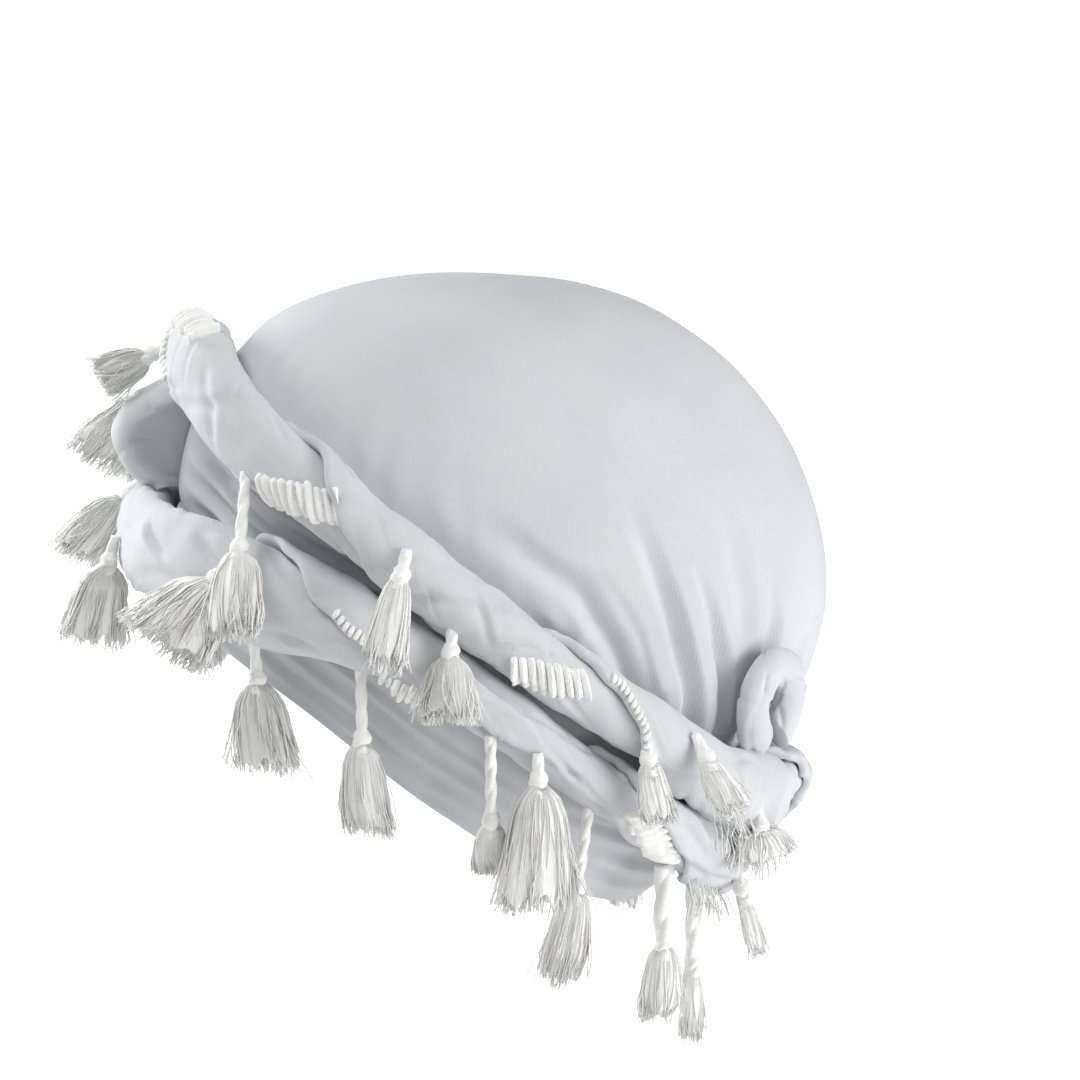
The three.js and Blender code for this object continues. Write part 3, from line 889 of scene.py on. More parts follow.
@dataclass
class Roll:
    """A roll of twisted cloth round the head, whose edge winds round it as a lip.

    Heights, half widths and outward half depths go by azimuth. The section winds outwards from under
    the lip, once round, to the lip itself. Its cloth is laid out in metres, by run and girth.
    """

    name: str
    height: AzimuthTable
    half_width: AzimuthTable
    outward: AzimuthTable
    turns: int
    phase: float
    layer: float
    creases: tuple[Crease, ...]
    lumps: float
    seed: int
    rumples: tuple[Rumple, ...] = ()
    bulges: tuple[Bulge, ...] = ()
    beads: tuple[tuple[float, float], ...] = ()
    inward: float = 7 * MM
    flare: float = 0.5 * MM
    overlap: float = 0.45
    lump_size: float = 20 * MM
    fine_size: float = 8 * MM
    fine_lumps: float = 0.35
    mean_radius: float = 10 * MM
    bead_pitch: float = 2.0 * MM
    bead_radius: float = 0.85 * MM
    cloth_run: float = 0.62
    cloth_girth: float = 0.075
    stations: int = 670
    body_columns: int = 78
    lip_columns: int = 8
    under_columns: int = 4

    def seat(self, azimuth: Array) -> Array:
        """Points of the head form that the roll lies along."""
        return HEAD.point(azimuth, HEAD.polar_at_height(azimuth, self.height.at(azimuth)))

    def station(self, azimuth: Array) -> tuple[Array, Array, Array]:
        """Where the roll is at each azimuth.

        The roll is seated on the head form at its height. Out is the form's normal there, and down is
        the roll's own direction crossed with it.

        Args:
            azimuth: Azimuths.

        Returns:
            Middles of the section, and the ways out and down.
        """
        out = HEAD.normal(azimuth, HEAD.polar_at_height(azimuth, self.height.at(azimuth)))
        along = unit(self.seat(azimuth + SLOPE_STEP) - self.seat(azimuth - SLOPE_STEP))
        down = unit(np.cross(along, out))
        return self.seat(azimuth) + out * (self.inward + GAP), out, down

    def section(self, azimuth: Array, around: Array, swell: Array | float, lift: Array | float) -> Array:
        """Points of the section: an ellipse outwards and a flatter one inwards, swelled and lifted.

        Args:
            azimuth: Azimuths.
            around: Angles round the section, outwards at 0 and down at 90 degrees.
            swell: Factor on the section's size.
            lift: Distance added to it.

        Returns:
            The points.
        """
        middle, out, down = self.station(azimuth)
        cos, sin = np.cos(around), np.sin(around)
        depth = np.where(cos > 0.0, self.outward.at(azimuth), self.inward)
        level = (cos * (depth * swell + lift))[..., None]
        drop = (sin * (self.half_width.at(azimuth) * swell + lift))[..., None]
        return middle + out * level + down * drop

    def lip(self, azimuth: Array) -> Array:
        """Where the cloth's edge is: it winds evenly, with slow waves and small scallops.

        Args:
            azimuth: Azimuths.

        Returns:
            Angles round the roll.
        """
        wave = sum(size * np.sin(pace * azimuth + start * self.seed) for size, pace, start in LIP_WAVES)
        scallop = 0.05 * np.sin(67.0 * azimuth + 3.0 * np.sin(5.0 * azimuth))
        return self.turns * azimuth + self.phase + (wave + scallop)

    def swell(self, share: Array) -> Array:
        """Factor on the section's size along the winding: it grows quickly at first, so a wind is full."""
        return 1.0 - self.layer * (1.0 - share) ** 1.7

    def wound(self, azimuth: Array, around: Array) -> Array:
        """Share of the way round from under the lip to the lip, at an angle round the roll."""
        return ((around - self.lip(azimuth) - self.overlap) / (2.0 * np.pi)) % 1.0

    def relief(self, azimuth: Array, around: Array) -> Array:
        """How far the cloth stands out: lumps of two sizes, creases, bunched parts and bulges, added up.

        Args:
            azimuth: Azimuths.
            around: Angles round the roll.

        Returns:
            Distances along the section's own directions.
        """
        place = self.section(azimuth, around, 1.0, 0.0)
        lift = self.lumps * cloth_noise(place, self.lump_size, self.seed)
        lift += self.fine_lumps * self.lumps * cloth_noise(place, self.fine_size, self.seed + 1)
        lift += sum(crease.lift(place, azimuth, around) for crease in self.creases)
        lift += sum(rumple.lift(place, azimuth) for rumple in self.rumples)
        return lift + sum(bulge.at(azimuth, around) for bulge in self.bulges)

    def surface(self, azimuth: Array, around: Array, lift: Array | float = 0.0) -> Array:
        """Points above the top layer of the cloth at any azimuth and angle round the roll."""
        swell = self.swell(self.wound(azimuth, around))
        return self.section(azimuth, around, swell, self.relief(azimuth, around) + lift)

    def patch(self) -> Patch:
        """The roll's surface.

        The section goes from under the lip once round to the lip, over the lip's half circle and back
        under it. The grid turns with the lip.

        Returns:
            A ring closed both ways.
        """
        azimuth = np.linspace(0.0, 2.0 * np.pi, self.stations, endpoint=False)[:, None]
        share = np.linspace(0.0, 1.0, self.body_columns)[None]
        bend = np.linspace(0.0, np.pi, self.lip_columns + 1)[None, 1:]
        back = np.linspace(0.0, 1.0, self.under_columns + 2)[None, 1:-1]
        sweep = 2.0 * np.pi + self.overlap
        thick = 0.5 * self.mean_radius * self.layer * (2.0 * np.pi / sweep) + 0.1 * MM
        ones = np.ones_like(azimuth)
        lip = self.lip(azimuth) + self.overlap
        around = np.concatenate(
            [
                lip - self.overlap + sweep * share * ones,
                lip + 2.0 * np.pi + thick / self.mean_radius * np.sin(bend) * ones,
                lip + 2.0 * np.pi - self.overlap * back * ones,
            ],
            axis=1,
        )
        swell = np.concatenate(
            [self.swell(share) * ones, np.ones_like(bend) * ones, np.ones_like(back) * ones],
            axis=1,
        )
        flare = self.flare * smooth_step(share, 0.84, 0.98)
        lower = np.concatenate(
            [
                flare * ones,
                (self.flare - thick * (1.0 - np.cos(bend))) * ones,
                (self.flare - 2.2 * thick) * np.ones_like(back) * ones,
            ],
            axis=1,
        )
        points = self.section(azimuth, around, swell, lower + self.relief(azimuth, around))
        run = np.linspace(0.0, self.cloth_run, self.stations + 1)[:, None]
        girth = np.linspace(0.0, self.cloth_girth, around.shape[1] + 1)[None]
        uv = np.stack(np.broadcast_arrays(girth, run), axis=-1)
        return Patch.grid(points, uv, close_rows=True)

    def bead_patch(self) -> Patch:
        """Beaded edging along parts of the lip: a row of small loops, each a lumpy round of thread.

        Returns:
            All the loops, as short closed tubes that lie across the lip.
        """
        spans = []
        for low, high in np.radians(self.beads):
            arc = np.linspace(low, high, 200)
            line = self.section(arc, self.lip(arc) + self.overlap, np.ones_like(arc), np.zeros_like(arc))
            length = np.linalg.norm(np.diff(line, axis=0), axis=1).sum()
            spans.append(np.linspace(low, high, int(length / self.bead_pitch)))
        azimuth = np.concatenate(spans)[:, None]
        rng = np.random.default_rng(self.seed)
        tilt = rng.normal(0.0, 0.12, azimuth.shape)
        along = np.linspace(-1.0, 1.0, 9)[None]
        reach = (1.5 + rng.uniform(-0.3, 0.4, azimuth.shape)) * MM
        around = self.lip(azimuth) + self.overlap + (along * reach - 0.4 * MM) / self.mean_radius
        spread = azimuth + tilt * along * 0.012
        lift = 0.5 * MM * (1.0 - along**2) + 0.35 * MM + 0.0 * spread
        swell = np.ones_like(around)
        line = self.section(spread, around, swell, lift + self.relief(spread, around))
        radius = self.bead_radius * np.sqrt(np.clip(1.02 - along**2, 0.02, None)) + 0.0 * spread
        return tube_along(line, radius, 6)

    def build(self) -> list[bpy.types.Object]:
        """Builds and dresses the roll and its beaded edging.

        Returns:
            The pieces.
        """
        roll = dress(self.patch().to_object(f"{self.name}_cloth"), JERSEY, self.name)
        pieces = [roll]
        if self.beads:
            pieces.append(dress(self.bead_patch().to_object(f"{self.name}_edging"), COTTON))
        return pieces


def tube_along(lines: Array, radius: Array, sides: int) -> Patch:
    """Closed round tubes along lines.

    The section's first axis is the steadiest of the world's axes made square to the line, and the second
    is the line's direction crossed with it.

    Args:
        lines: Points by tube and station.
        radius: Radius at each point.
        sides: Sides of the section.

    Returns:
        The tubes as one surface.
    """
    tangent = unit(np.gradient(lines, axis=1))
    chord = np.abs(tangent).mean(axis=1)
    axis = np.eye(3)[np.argmin(chord, axis=-1)][:, None]
    first = unit(axis - tangent * (axis * tangent).sum(axis=-1, keepdims=True))
    second = np.cross(tangent, first)
    angle = (2.0 * np.pi * np.arange(sides) / sides)[:, None]
    around = np.cos(angle) * first[:, :, None] + np.sin(angle) * second[:, :, None]
    rings = lines[:, :, None] + radius[..., None, None] * around
    step = np.linalg.norm(np.diff(lines, axis=1), axis=-1)
    along = np.concatenate([np.zeros((len(lines), 1)), np.cumsum(step, axis=1)], axis=1)
    return Patch.tubes(rings, along)


UPPER = Roll(
    name="upper_roll",
    height=AzimuthTable((80, 63, 32, -2, -33, -52, -56)),
    half_width=AzimuthTable((12.5, 12, 10.2, 10.2, 11, 14.5, 13)),
    outward=AzimuthTable((11, 11, 11, 11, 11, 8.5, 7.5)),
    turns=7,
    phase=np.radians(6.0),
    layer=0.3,
    creases=(
        Crease(2, 4, 0.9 * MM, 0.2, 3),
        Crease(5, 6, 0.8 * MM, 0.27, 11),
        Crease(3, -7, 0.9 * MM, 0.22, 19),
        Crease(8, -8, 0.4 * MM, 0.35, 29),
    ),
    lumps=1.1 * MM,
    seed=5,
    rumples=(Rumple(137.0, 15.0, 2.6 * MM, 9),),
    bulges=(Bulge(133.0, 75.0, 14.0, 45.0, 5.5 * MM),),
    beads=((-9, 4), (91, 107)),
)
LOWER = Roll(
    name="lower_roll",
    height=AzimuthTable((26, 23, 7, -27, -60, -78, -80)),
    half_width=AzimuthTable((14.5, 15, 9.8, 9.2, 10, 9.5, 9)),
    outward=AzimuthTable((11, 11.5, 10.5, 10, 10, 9, 8)),
    turns=6,
    phase=np.radians(40.0),
    layer=0.28,
    creases=(
        Crease(2, -2, 3.0 * MM, 0.22, 23),
        Crease(4, -3, 2.0 * MM, 0.26, 31),
        Crease(5, 2, 1.1 * MM, 0.28, 41),
        Crease(8, -6, 0.5 * MM, 0.35, 37),
    ),
    lumps=0.9 * MM,
    seed=8,
    bulges=(Bulge(20.0, -95.0, 24.0, 42.0, 5.5 * MM), Bulge(126.0, -65.0, 13.0, 45.0, 5.0 * MM)),
    beads=((44, 66),),
)
ROLLS = {"upper": UPPER, "lower": LOWER}


@dataclass(frozen=True)
class CrownFold:
    """A valley in the crown along a curve: azimuths and polar angles, width and depth in millimetres.

    It fades in over a share of its length from its first point, and runs on to its last.
    """

    path: tuple[tuple[float, float], ...]
    width: float
    depth: float
    fade: float = 0.6
    gain: float = 1.3
    steps: int = 48

    def sink(self, here: Array) -> Array:
        """How far the fold pulls the cloth in.

        Across the curve the depth falls as the exponential of a power of the distance, and a rounded
        ridge stands beside the valley. The nearest of many points of the curve gives the distance.

        Args:
            here: Directions of the places on the crown.

        Returns:
            Sinks in metres, below 0 on the ridge.
        """
        marks = np.linspace(0.0, 1.0, len(self.path))
        t = np.linspace(0.0, 1.0, self.steps)
        angles = np.radians(np.array(self.path))
        line = HEAD.direction(np.interp(t, marks, angles[:, 0]), np.interp(t, marks, angles[:, 1]))
        line[1:-1] = unit(line[:-2] + 2.0 * line[1:-1] + line[2:])
        near = np.argmax(here @ line.T, axis=-1)
        way = np.gradient(line, axis=0)
        side = unit(np.cross(line, way))
        wander = 1.6 * MM * cloth_noise(here * HEAD.rise, 30 * MM, 51)
        ahead = HEAD.rise * ((here - line[near]) * unit(way)[near]).sum(axis=-1)
        beyond = np.where((near == 0) | (near == len(t) - 1), np.abs(ahead), 0.0)
        across = (HEAD.rise * (here * side[near]).sum(axis=-1) + wander) / (self.width * MM)
        shown = smooth_step(t[near], 0.0, self.fade) * np.exp(-((beyond / (4 * MM)) ** 2))
        valley = np.exp(-np.abs(across) ** 1.7)
        ridge = np.exp(-(((np.abs(across) - 1.9) / 0.9) ** 2)) * np.where(across > 0.0, 0.42, 0.2)
        return self.gain * self.depth * MM * shown * (valley - ridge)


@dataclass(frozen=True)
class Recess:
    """Cloth between the two rolls that falls in at the brow: ramps of azimuth in degrees."""

    depth: float = 11.5 * MM
    pleat_pitch: float = 7.5 * MM
    pleat_slope: float = 0.055
    edge: tuple[float, float] = (0.02, 0.10)
    opens: tuple[float, float] = (-3.0, 9.0)
    closes: tuple[float, float] = (46.0, 66.0)

    def sink(self, azimuth: Array, polar: Array, pleat: float = 0.0) -> Array:
        """How far the cloth falls in: a flat floor with ramps to the rolls and at both ends.

        Pleats that slope down backwards stand up from the floor, as a cosine of the height and azimuth.

        Args:
            azimuth: Azimuths by row and column, the same in each row.
            polar: Polar angles.
            pleat: Share of the depth that the pleats stand up.

        Returns:
            Sinks in metres.
        """
        row = azimuth[0]
        high, low = (HEAD.polar_at_height(row, roll.height.at(row))[None] for roll in (UPPER, LOWER))
        between = smooth_step(polar - high, *self.edge) * smooth_step(low - polar, *self.edge)
        turned = np.degrees((azimuth + np.pi) % (2.0 * np.pi) - np.pi)
        waves = polar * HEAD.rise / self.pleat_pitch - self.pleat_slope * turned
        depth = self.depth * (1.0 - pleat * (0.5 + 0.5 * np.cos(2.0 * np.pi * waves)))
        return depth * between * smooth_step(turned, *self.opens) * (1.0 - smooth_step(turned, *self.closes))


RECESS = Recess()


@dataclass
class Crown:
    """The jersey crown, stretched over the head, with folds at its gather and tucks above its rim."""

    wall: float = 1.8 * MM
    gather_azimuth: float = 118.0
    folds: tuple[CrownFold, ...] = (
        CrownFold(((63, 55), (77, 62), (90, 71), (98, 84), (104, 97)), 5.5, 3.4),
        CrownFold(((103, 52), (108, 65), (113, 81), (117, 95), (119, 110)), 4.5, 4.2),
        CrownFold(((116, 66), (122, 81), (125, 93), (125, 110)), 3.6, 3.4),
        CrownFold(((82, 54), (94, 66), (104, 82), (110, 100)), 4.5, 2.0),
        CrownFold(((139, 72), (139, 88), (133, 108)), 4.0, 2.4),
        CrownFold(((158, 84), (149, 97), (139, 108)), 4.0, 2.2),
        CrownFold(((72, 72), (86, 82), (95, 93)), 4.0, 1.8),
        CrownFold(((126, 52), (131, 68), (131, 86)), 6.0, 1.4),
        CrownFold(((-64, 58), (-80, 68), (-93, 80), (-104, 96)), 5.5, 3.0),
        CrownFold(((-103, 58), (-110, 74), (-115, 92), (-118, 108)), 4.5, 3.2),
        CrownFold(((-128, 66), (-130, 82), (-127, 106)), 4.5, 2.4),
        CrownFold(((172, 62), (176, 80), (174, 104)), 6.0, 2.0),
    )
    tuck_height: float = 36 * MM
    tuck_pitch: float = 9.5 * MM
    tuck_depth: float = 2.4 * MM
    pleat: float = 0.4
    crowding: float = 0.45
    hem_round: float = 0.9 * MM
    mean_girth: float = 0.1
    row_run: float = 1.2 * MM
    columns: int = 352
    rows: int = 150
    inner_rows: int = 36
    hem_rows: int = 5

    def gathers(self, azimuth: Array, polar: Array) -> Array:
        """How far the folds pull the cloth in: all of them added up, in metres."""
        here = HEAD.direction(azimuth, polar)
        return sum(fold.sink(here) for fold in self.folds)

    def tucks(self, azimuth: Array, polar: Array, rim: Array) -> Array:
        """How far the long tucks above the rim pull the cloth in: a rounded saw of the height above it.

        Args:
            azimuth: Azimuths.
            polar: Polar angles.
            rim: Polar angle of the rim at each azimuth.

        Returns:
            Sinks in metres.
        """
        above = (rim - polar) * HEAD.rise
        place = HEAD.point(azimuth, polar)
        push = 0.35 * cloth_noise(place, 45 * MM, 61)
        saw = (above / self.tuck_pitch + push + 0.12 * np.sin(3.0 * azimuth)) % 1.0
        wave = smooth_step(saw, 0.0, 0.72) * (1.0 - smooth_step(saw, 0.74, 1.0))
        fade = 1.0 - smooth_step(above, self.tuck_height - 10 * MM, self.tuck_height)
        shown = smooth_step(above, 1 * MM, 6 * MM) * fade
        depth = self.tuck_depth * (0.75 + 0.5 * cloth_noise(place, 30 * MM, 67))
        return depth * shown * (1.0 - wave)

    def drape(self, azimuth: Array, polar: Array) -> Array:
        """How far the cloth's slack, and the pull of the upper roll, take it in.

        Slow noise gives the slack, and near the roll the cloth dips, with short strains across it.

        Args:
            azimuth: Azimuths.
            polar: Polar angles.

        Returns:
            Sinks in metres.
        """
        place = HEAD.point(azimuth, polar)
        slack = 1.3 * MM * cloth_noise(place, 52 * MM, 71) + 0.5 * MM * cloth_noise(place, 23 * MM, 73)
        line = HEAD.polar_at_height(azimuth[0], UPPER.height.at(azimuth[0]))[None]
        away = (line - polar) * HEAD.rise
        near = np.exp(-((away - 9 * MM) / (9 * MM)) ** 2)
        strain = np.sin(46.0 * azimuth + 3.0 * cloth_noise(place, 30 * MM, 79))
        fade = np.exp(-np.abs(away - 12 * MM) / (11 * MM))
        shown = smooth_step(cloth_noise(place, 24 * MM, 83), 0.0, 0.5) * fade
        pull = 0.5 * slack + 1.6 * MM * near + 0.55 * MM * shown * strain
        return pull + RECESS.sink(azimuth, polar, self.pleat)

    def patch(self) -> Patch:
        """The crown's wall: from the top down the outside to the rim, round the hem, and up the inside.

        Azimuths crowd towards the gather and rows towards the rim. The deeper of folds and tucks holds,
        and the slack is added to it.

        Returns:
            A closed surface.
        """
        turn = np.linspace(0.0, 2.0 * np.pi, self.columns, endpoint=False)
        azimuth = np.radians(self.gather_azimuth) + turn - self.crowding * np.sin(turn)
        rim = HEAD.polar_at_height(azimuth, RIM.at(azimuth))
        outer = 1.0 - (1.0 - np.arange(1, self.rows + 1) / self.rows) ** 1.3
        inner = 1.0 - (np.arange(1, self.inner_rows) / self.inner_rows) ** 1.2
        bend = np.linspace(0.0, np.pi, self.hem_rows + 2)[1:-1]
        share = np.concatenate([outer, np.ones(self.hem_rows), inner])[:, None]
        deep = np.concatenate([np.zeros(self.rows), 0.5 - 0.5 * np.cos(bend), np.ones(len(inner))])[:, None]
        bulge = np.concatenate([np.zeros(self.rows), np.sin(bend), np.zeros(len(inner))])[:, None]
        polar = share * rim[None] + bulge * (self.hem_round / HEAD.rise)
        spread = np.broadcast_to(azimuth[None], polar.shape)
        sink = np.maximum(self.gathers(spread, polar), self.tucks(spread, polar, rim[None]))
        sink = sink + self.drape(spread, polar) * smooth_step(rim[None] - polar, 0.0, 0.25)
        points = HEAD.point(spread, polar, sink + deep * self.wall)
        top = HEAD.rise - 0.5 * self.drape(spread[:1], 0.0 * polar[:1]).mean()
        down = (self.row_run * np.arange(len(share)))[:, None]
        around = self.mean_girth * np.append(azimuth - azimuth[0], 2.0 * np.pi)[None]
        uv = np.stack(np.broadcast_arrays(around, down), axis=-1)
        poles = np.array([0.0, 0.0, top]), np.array([0.0, 0.0, top - self.wall])
        return Patch.grid(points, uv, poles=poles, flip=True)

    def build(self) -> list[bpy.types.Object]:
        """Builds and dresses the crown.

        Returns:
            The crown.
        """
        crown = dress(self.patch().to_object("crown_cloth"), JERSEY, "crown")
        return [crown]


@dataclass
class Lining:
    """The satin lining, slack inside the crown and puckered towards the rim."""

    wall: float = 1.0 * MM
    clear: float = 2.2 * MM
    slack: float = 5.0 * MM
    reach: float = 0.985
    tightening: float = 0.09 / MM
    cloth_girth: float = 0.6
    cloth_run: float = 0.4
    columns: int = 200
    rows: int = 48

    def patch(self) -> Patch:
        """The lining's wall: down its outside to its edge, and up its inside.

        It hangs a slack below the crown, less near the edge and under the recess at the brow, with
        puckers that run up from the edge: a sine of the azimuth, pushed by noise, which fades upwards.

        Returns:
            A closed surface.
        """
        azimuth = np.linspace(0.0, 2.0 * np.pi, self.columns, endpoint=False)
        rim = HEAD.polar_at_height(azimuth, RIM.at(azimuth))
        share = self.reach * (1.0 - (1.0 - np.arange(1, self.rows + 1) / self.rows) ** 1.3)
        share = np.concatenate([share, share[::-1]])[:, None]
        deep = np.concatenate([np.zeros(self.rows), np.ones(self.rows)])[:, None] * self.wall
        polar = share * rim[None]
        spread = np.broadcast_to(azimuth[None], polar.shape)
        place = HEAD.point(spread, polar)
        pucker = np.sin(34.0 * spread + 2.5 * cloth_noise(place, 40 * MM, 91))
        soft = cloth_noise(place, 26 * MM, 93) + 0.5 * cloth_noise(place, 12 * MM, 95)
        to_edge = [1.0 - smooth_step(share, low, self.reach) for low in (0.86, 0.9, 0.95)]
        wrinkle = 0.9 * MM * (pucker * smooth_step(share, 0.45, 0.9) * to_edge[2] + soft * to_edge[1])
        fall = RECESS.sink(spread, polar)
        hang = self.slack * to_edge[0] * (1.0 - self.tightening * fall).clip(0.0)
        sink = self.clear + hang + wrinkle + fall
        points = HEAD.point(spread, polar, sink + deep)
        top = HEAD.rise - self.clear - self.slack
        around = np.linspace(0.0, self.cloth_girth, self.columns + 1)[None]
        down = np.linspace(0.0, self.cloth_run, len(share))[:, None]
        uv = np.stack(np.broadcast_arrays(around, down), axis=-1)
        poles = np.array([0.0, 0.0, top]), np.array([0.0, 0.0, top - self.wall])
        return Patch.grid(points, uv, poles=poles, flip=True)

    def build(self) -> list[bpy.types.Object]:
        """Builds and dresses the lining.

        Returns:
            The lining.
        """
        lining = dress(self.patch().to_object("lining_cloth"), SATIN, "lining")
        return [lining]


class PuffKind(Enum):
    """How a puff of cloth is made."""

    ROLL = "roll"
    ARCH = "arch"


@dataclass(frozen=True)
class Puff:
    """A puff of the tail's cloth on the crown: half sizes in millimetres, angles in degrees."""

    node: str
    kind: PuffKind
    azimuth: float
    height: float
    length: float
    width: float
    depth: float
    seed: int
    cloth_size: float = 0.04
    rings: int = 84
    sides: int = 72

    def axes(self) -> tuple[Array, Array, Array]:
        """The puff's own ways: out is the head's normal at its seat.

        Returns:
            Ways along the head's side, up it and out from it.
        """
        azimuth = np.radians(self.azimuth)
        out = HEAD.normal(azimuth, HEAD.polar_at_height(azimuth, self.height * MM))
        level = unit(np.cross(UPWARD, out))
        return level, np.cross(out, level), out

    def wrinkles(self, plain: Array, along: Array, around: Array) -> Array:
        """Factor on the puff's thickness: soft lumps, a wound step as a rounded saw, and creases.

        Args:
            plain: The smooth form.
            along: Place along it, from 0 to 1.
            around: Angle round it.

        Returns:
            The factor at each point.
        """
        lumps = cloth_noise(plain, 8 * MM, self.seed)
        wind = (around - 4.0 * along + 0.6 * cloth_noise(plain, 13 * MM, self.seed + 1)) / (2.0 * np.pi)
        saw = wind % 1.0
        step = saw**0.6 * (1.0 - smooth_step(saw, 0.93, 1.0))
        phase = 2.0 * around + 14.0 * along + 2.6 * cloth_noise(plain, 10 * MM, self.seed + 2)
        valley = np.exp(-((np.sin(0.5 * phase) / 0.3) ** 2))
        shown = smooth_step(cloth_noise(plain, 9 * MM, self.seed + 3), -0.25, 0.35)
        return 0.92 + 0.12 * lumps + 0.12 * step - 0.15 * valley * shown

    def roll_form(self, along: Array, around: Array, thick: Array | float) -> Array:
        """Places of a roll, by its own three ways: an upright tube, bent so that its ends turn in.

        Its middle line is a parabola of the height, and its section half an ellipse square to that line.
        Behind it a thinner web of cloth goes back to the crown.

        Args:
            along: Place along the roll, from 0 to 1.
            around: Angle round it.
            thick: Factor on its thickness.

        Returns:
            Places along the level, rising and outward ways.
        """
        long, wide, deep = np.array([self.length, self.width, self.depth]) * MM
        u = 2.0 * along - 1.0
        rise, out = 1.25 * long * u, deep * (0.48 - 1.15 * u**2)
        climb, fall = np.full_like(u, 1.25 * long), -2.3 * deep * u
        reach = np.hypot(climb, fall)
        way = np.sin(around)
        web = np.where(way < 0.0, 0.45 + 0.55 * np.exp(-((way / 0.3) ** 2)), 1.0)
        level = 0.85 * wide * np.cos(around) * thick * web
        away = 0.58 * deep * way.clip(0.0) * thick
        back = (-way).clip(0.0) * (out + 1.2 * deep)
        places = level, rise - fall / reach * away, out + climb / reach * away - back
        return np.stack(np.broadcast_arrays(*places), axis=-1)

    def arch_form(self, along: Array, around: Array, thick: Array | float) -> Array:
        """Places of an arch, by its own three ways: a thick tube over a half ellipse, with two legs.

        Args:
            along: Place along the arch, from 0 to 1.
            around: Angle round its tube.
            thick: Factor on the tube's thickness.

        Returns:
            Places along the level, rising and outward ways.
        """
        tube = 0.48 * self.length * MM
        turn = (1.7 * along - 0.35) * np.pi
        middle = -np.cos(turn) * np.where(np.sin(turn) < 0.0, 1.15, 1.0) * 0.58 * self.length * MM
        rise = np.where(np.sin(turn) > 0.0, 0.66, 1.25) * np.sin(turn) * self.length * MM
        aside, up = -np.cos(turn), np.sin(turn)
        away = tube * np.cos(around) * thick
        out = 0.75 * self.depth * MM * np.sin(around) * thick
        return np.stack(np.broadcast_arrays(middle + aside * away, rise + up * away, out), axis=-1)

    def patch(self) -> Patch:
        """The puff's surface, as a roll or an arch with wrinkles.

        Returns:
            A closed surface.
        """
        azimuth = np.radians(self.azimuth)
        polar = HEAD.polar_at_height(azimuth, self.height * MM)
        ways = np.stack(self.axes())
        seat = HEAD.point(azimuth, polar) + ways[2] * (self.depth * MM + GAP)
        form = self.arch_form if self.kind is PuffKind.ARCH else self.roll_form
        along = np.linspace(0.0, 1.0, self.rings)[:, None]
        around = np.linspace(0.0, 2.0 * np.pi, self.sides, endpoint=False)[None]
        plain = seat + form(along, around, 1.0) @ ways
        points = seat + form(along, around, self.wrinkles(plain, along, around)) @ ways
        girth = np.linspace(0.0, self.cloth_size, self.sides + 1)[None]
        run = np.linspace(0.0, self.cloth_size, self.rings)[:, None]
        uv = np.stack(np.broadcast_arrays(girth, run), axis=-1)
        poles = points[0].mean(axis=0), points[-1].mean(axis=0)
        return Patch.grid(points, uv, poles=poles, flip=self.kind is PuffKind.ARCH)

    def build(self) -> list[bpy.types.Object]:
        """Builds and dresses the puff.

        Returns:
            The puff.
        """
        puff = dress(self.patch().to_object(f"{self.node}_cloth"), JERSEY, self.node)
        return [puff]


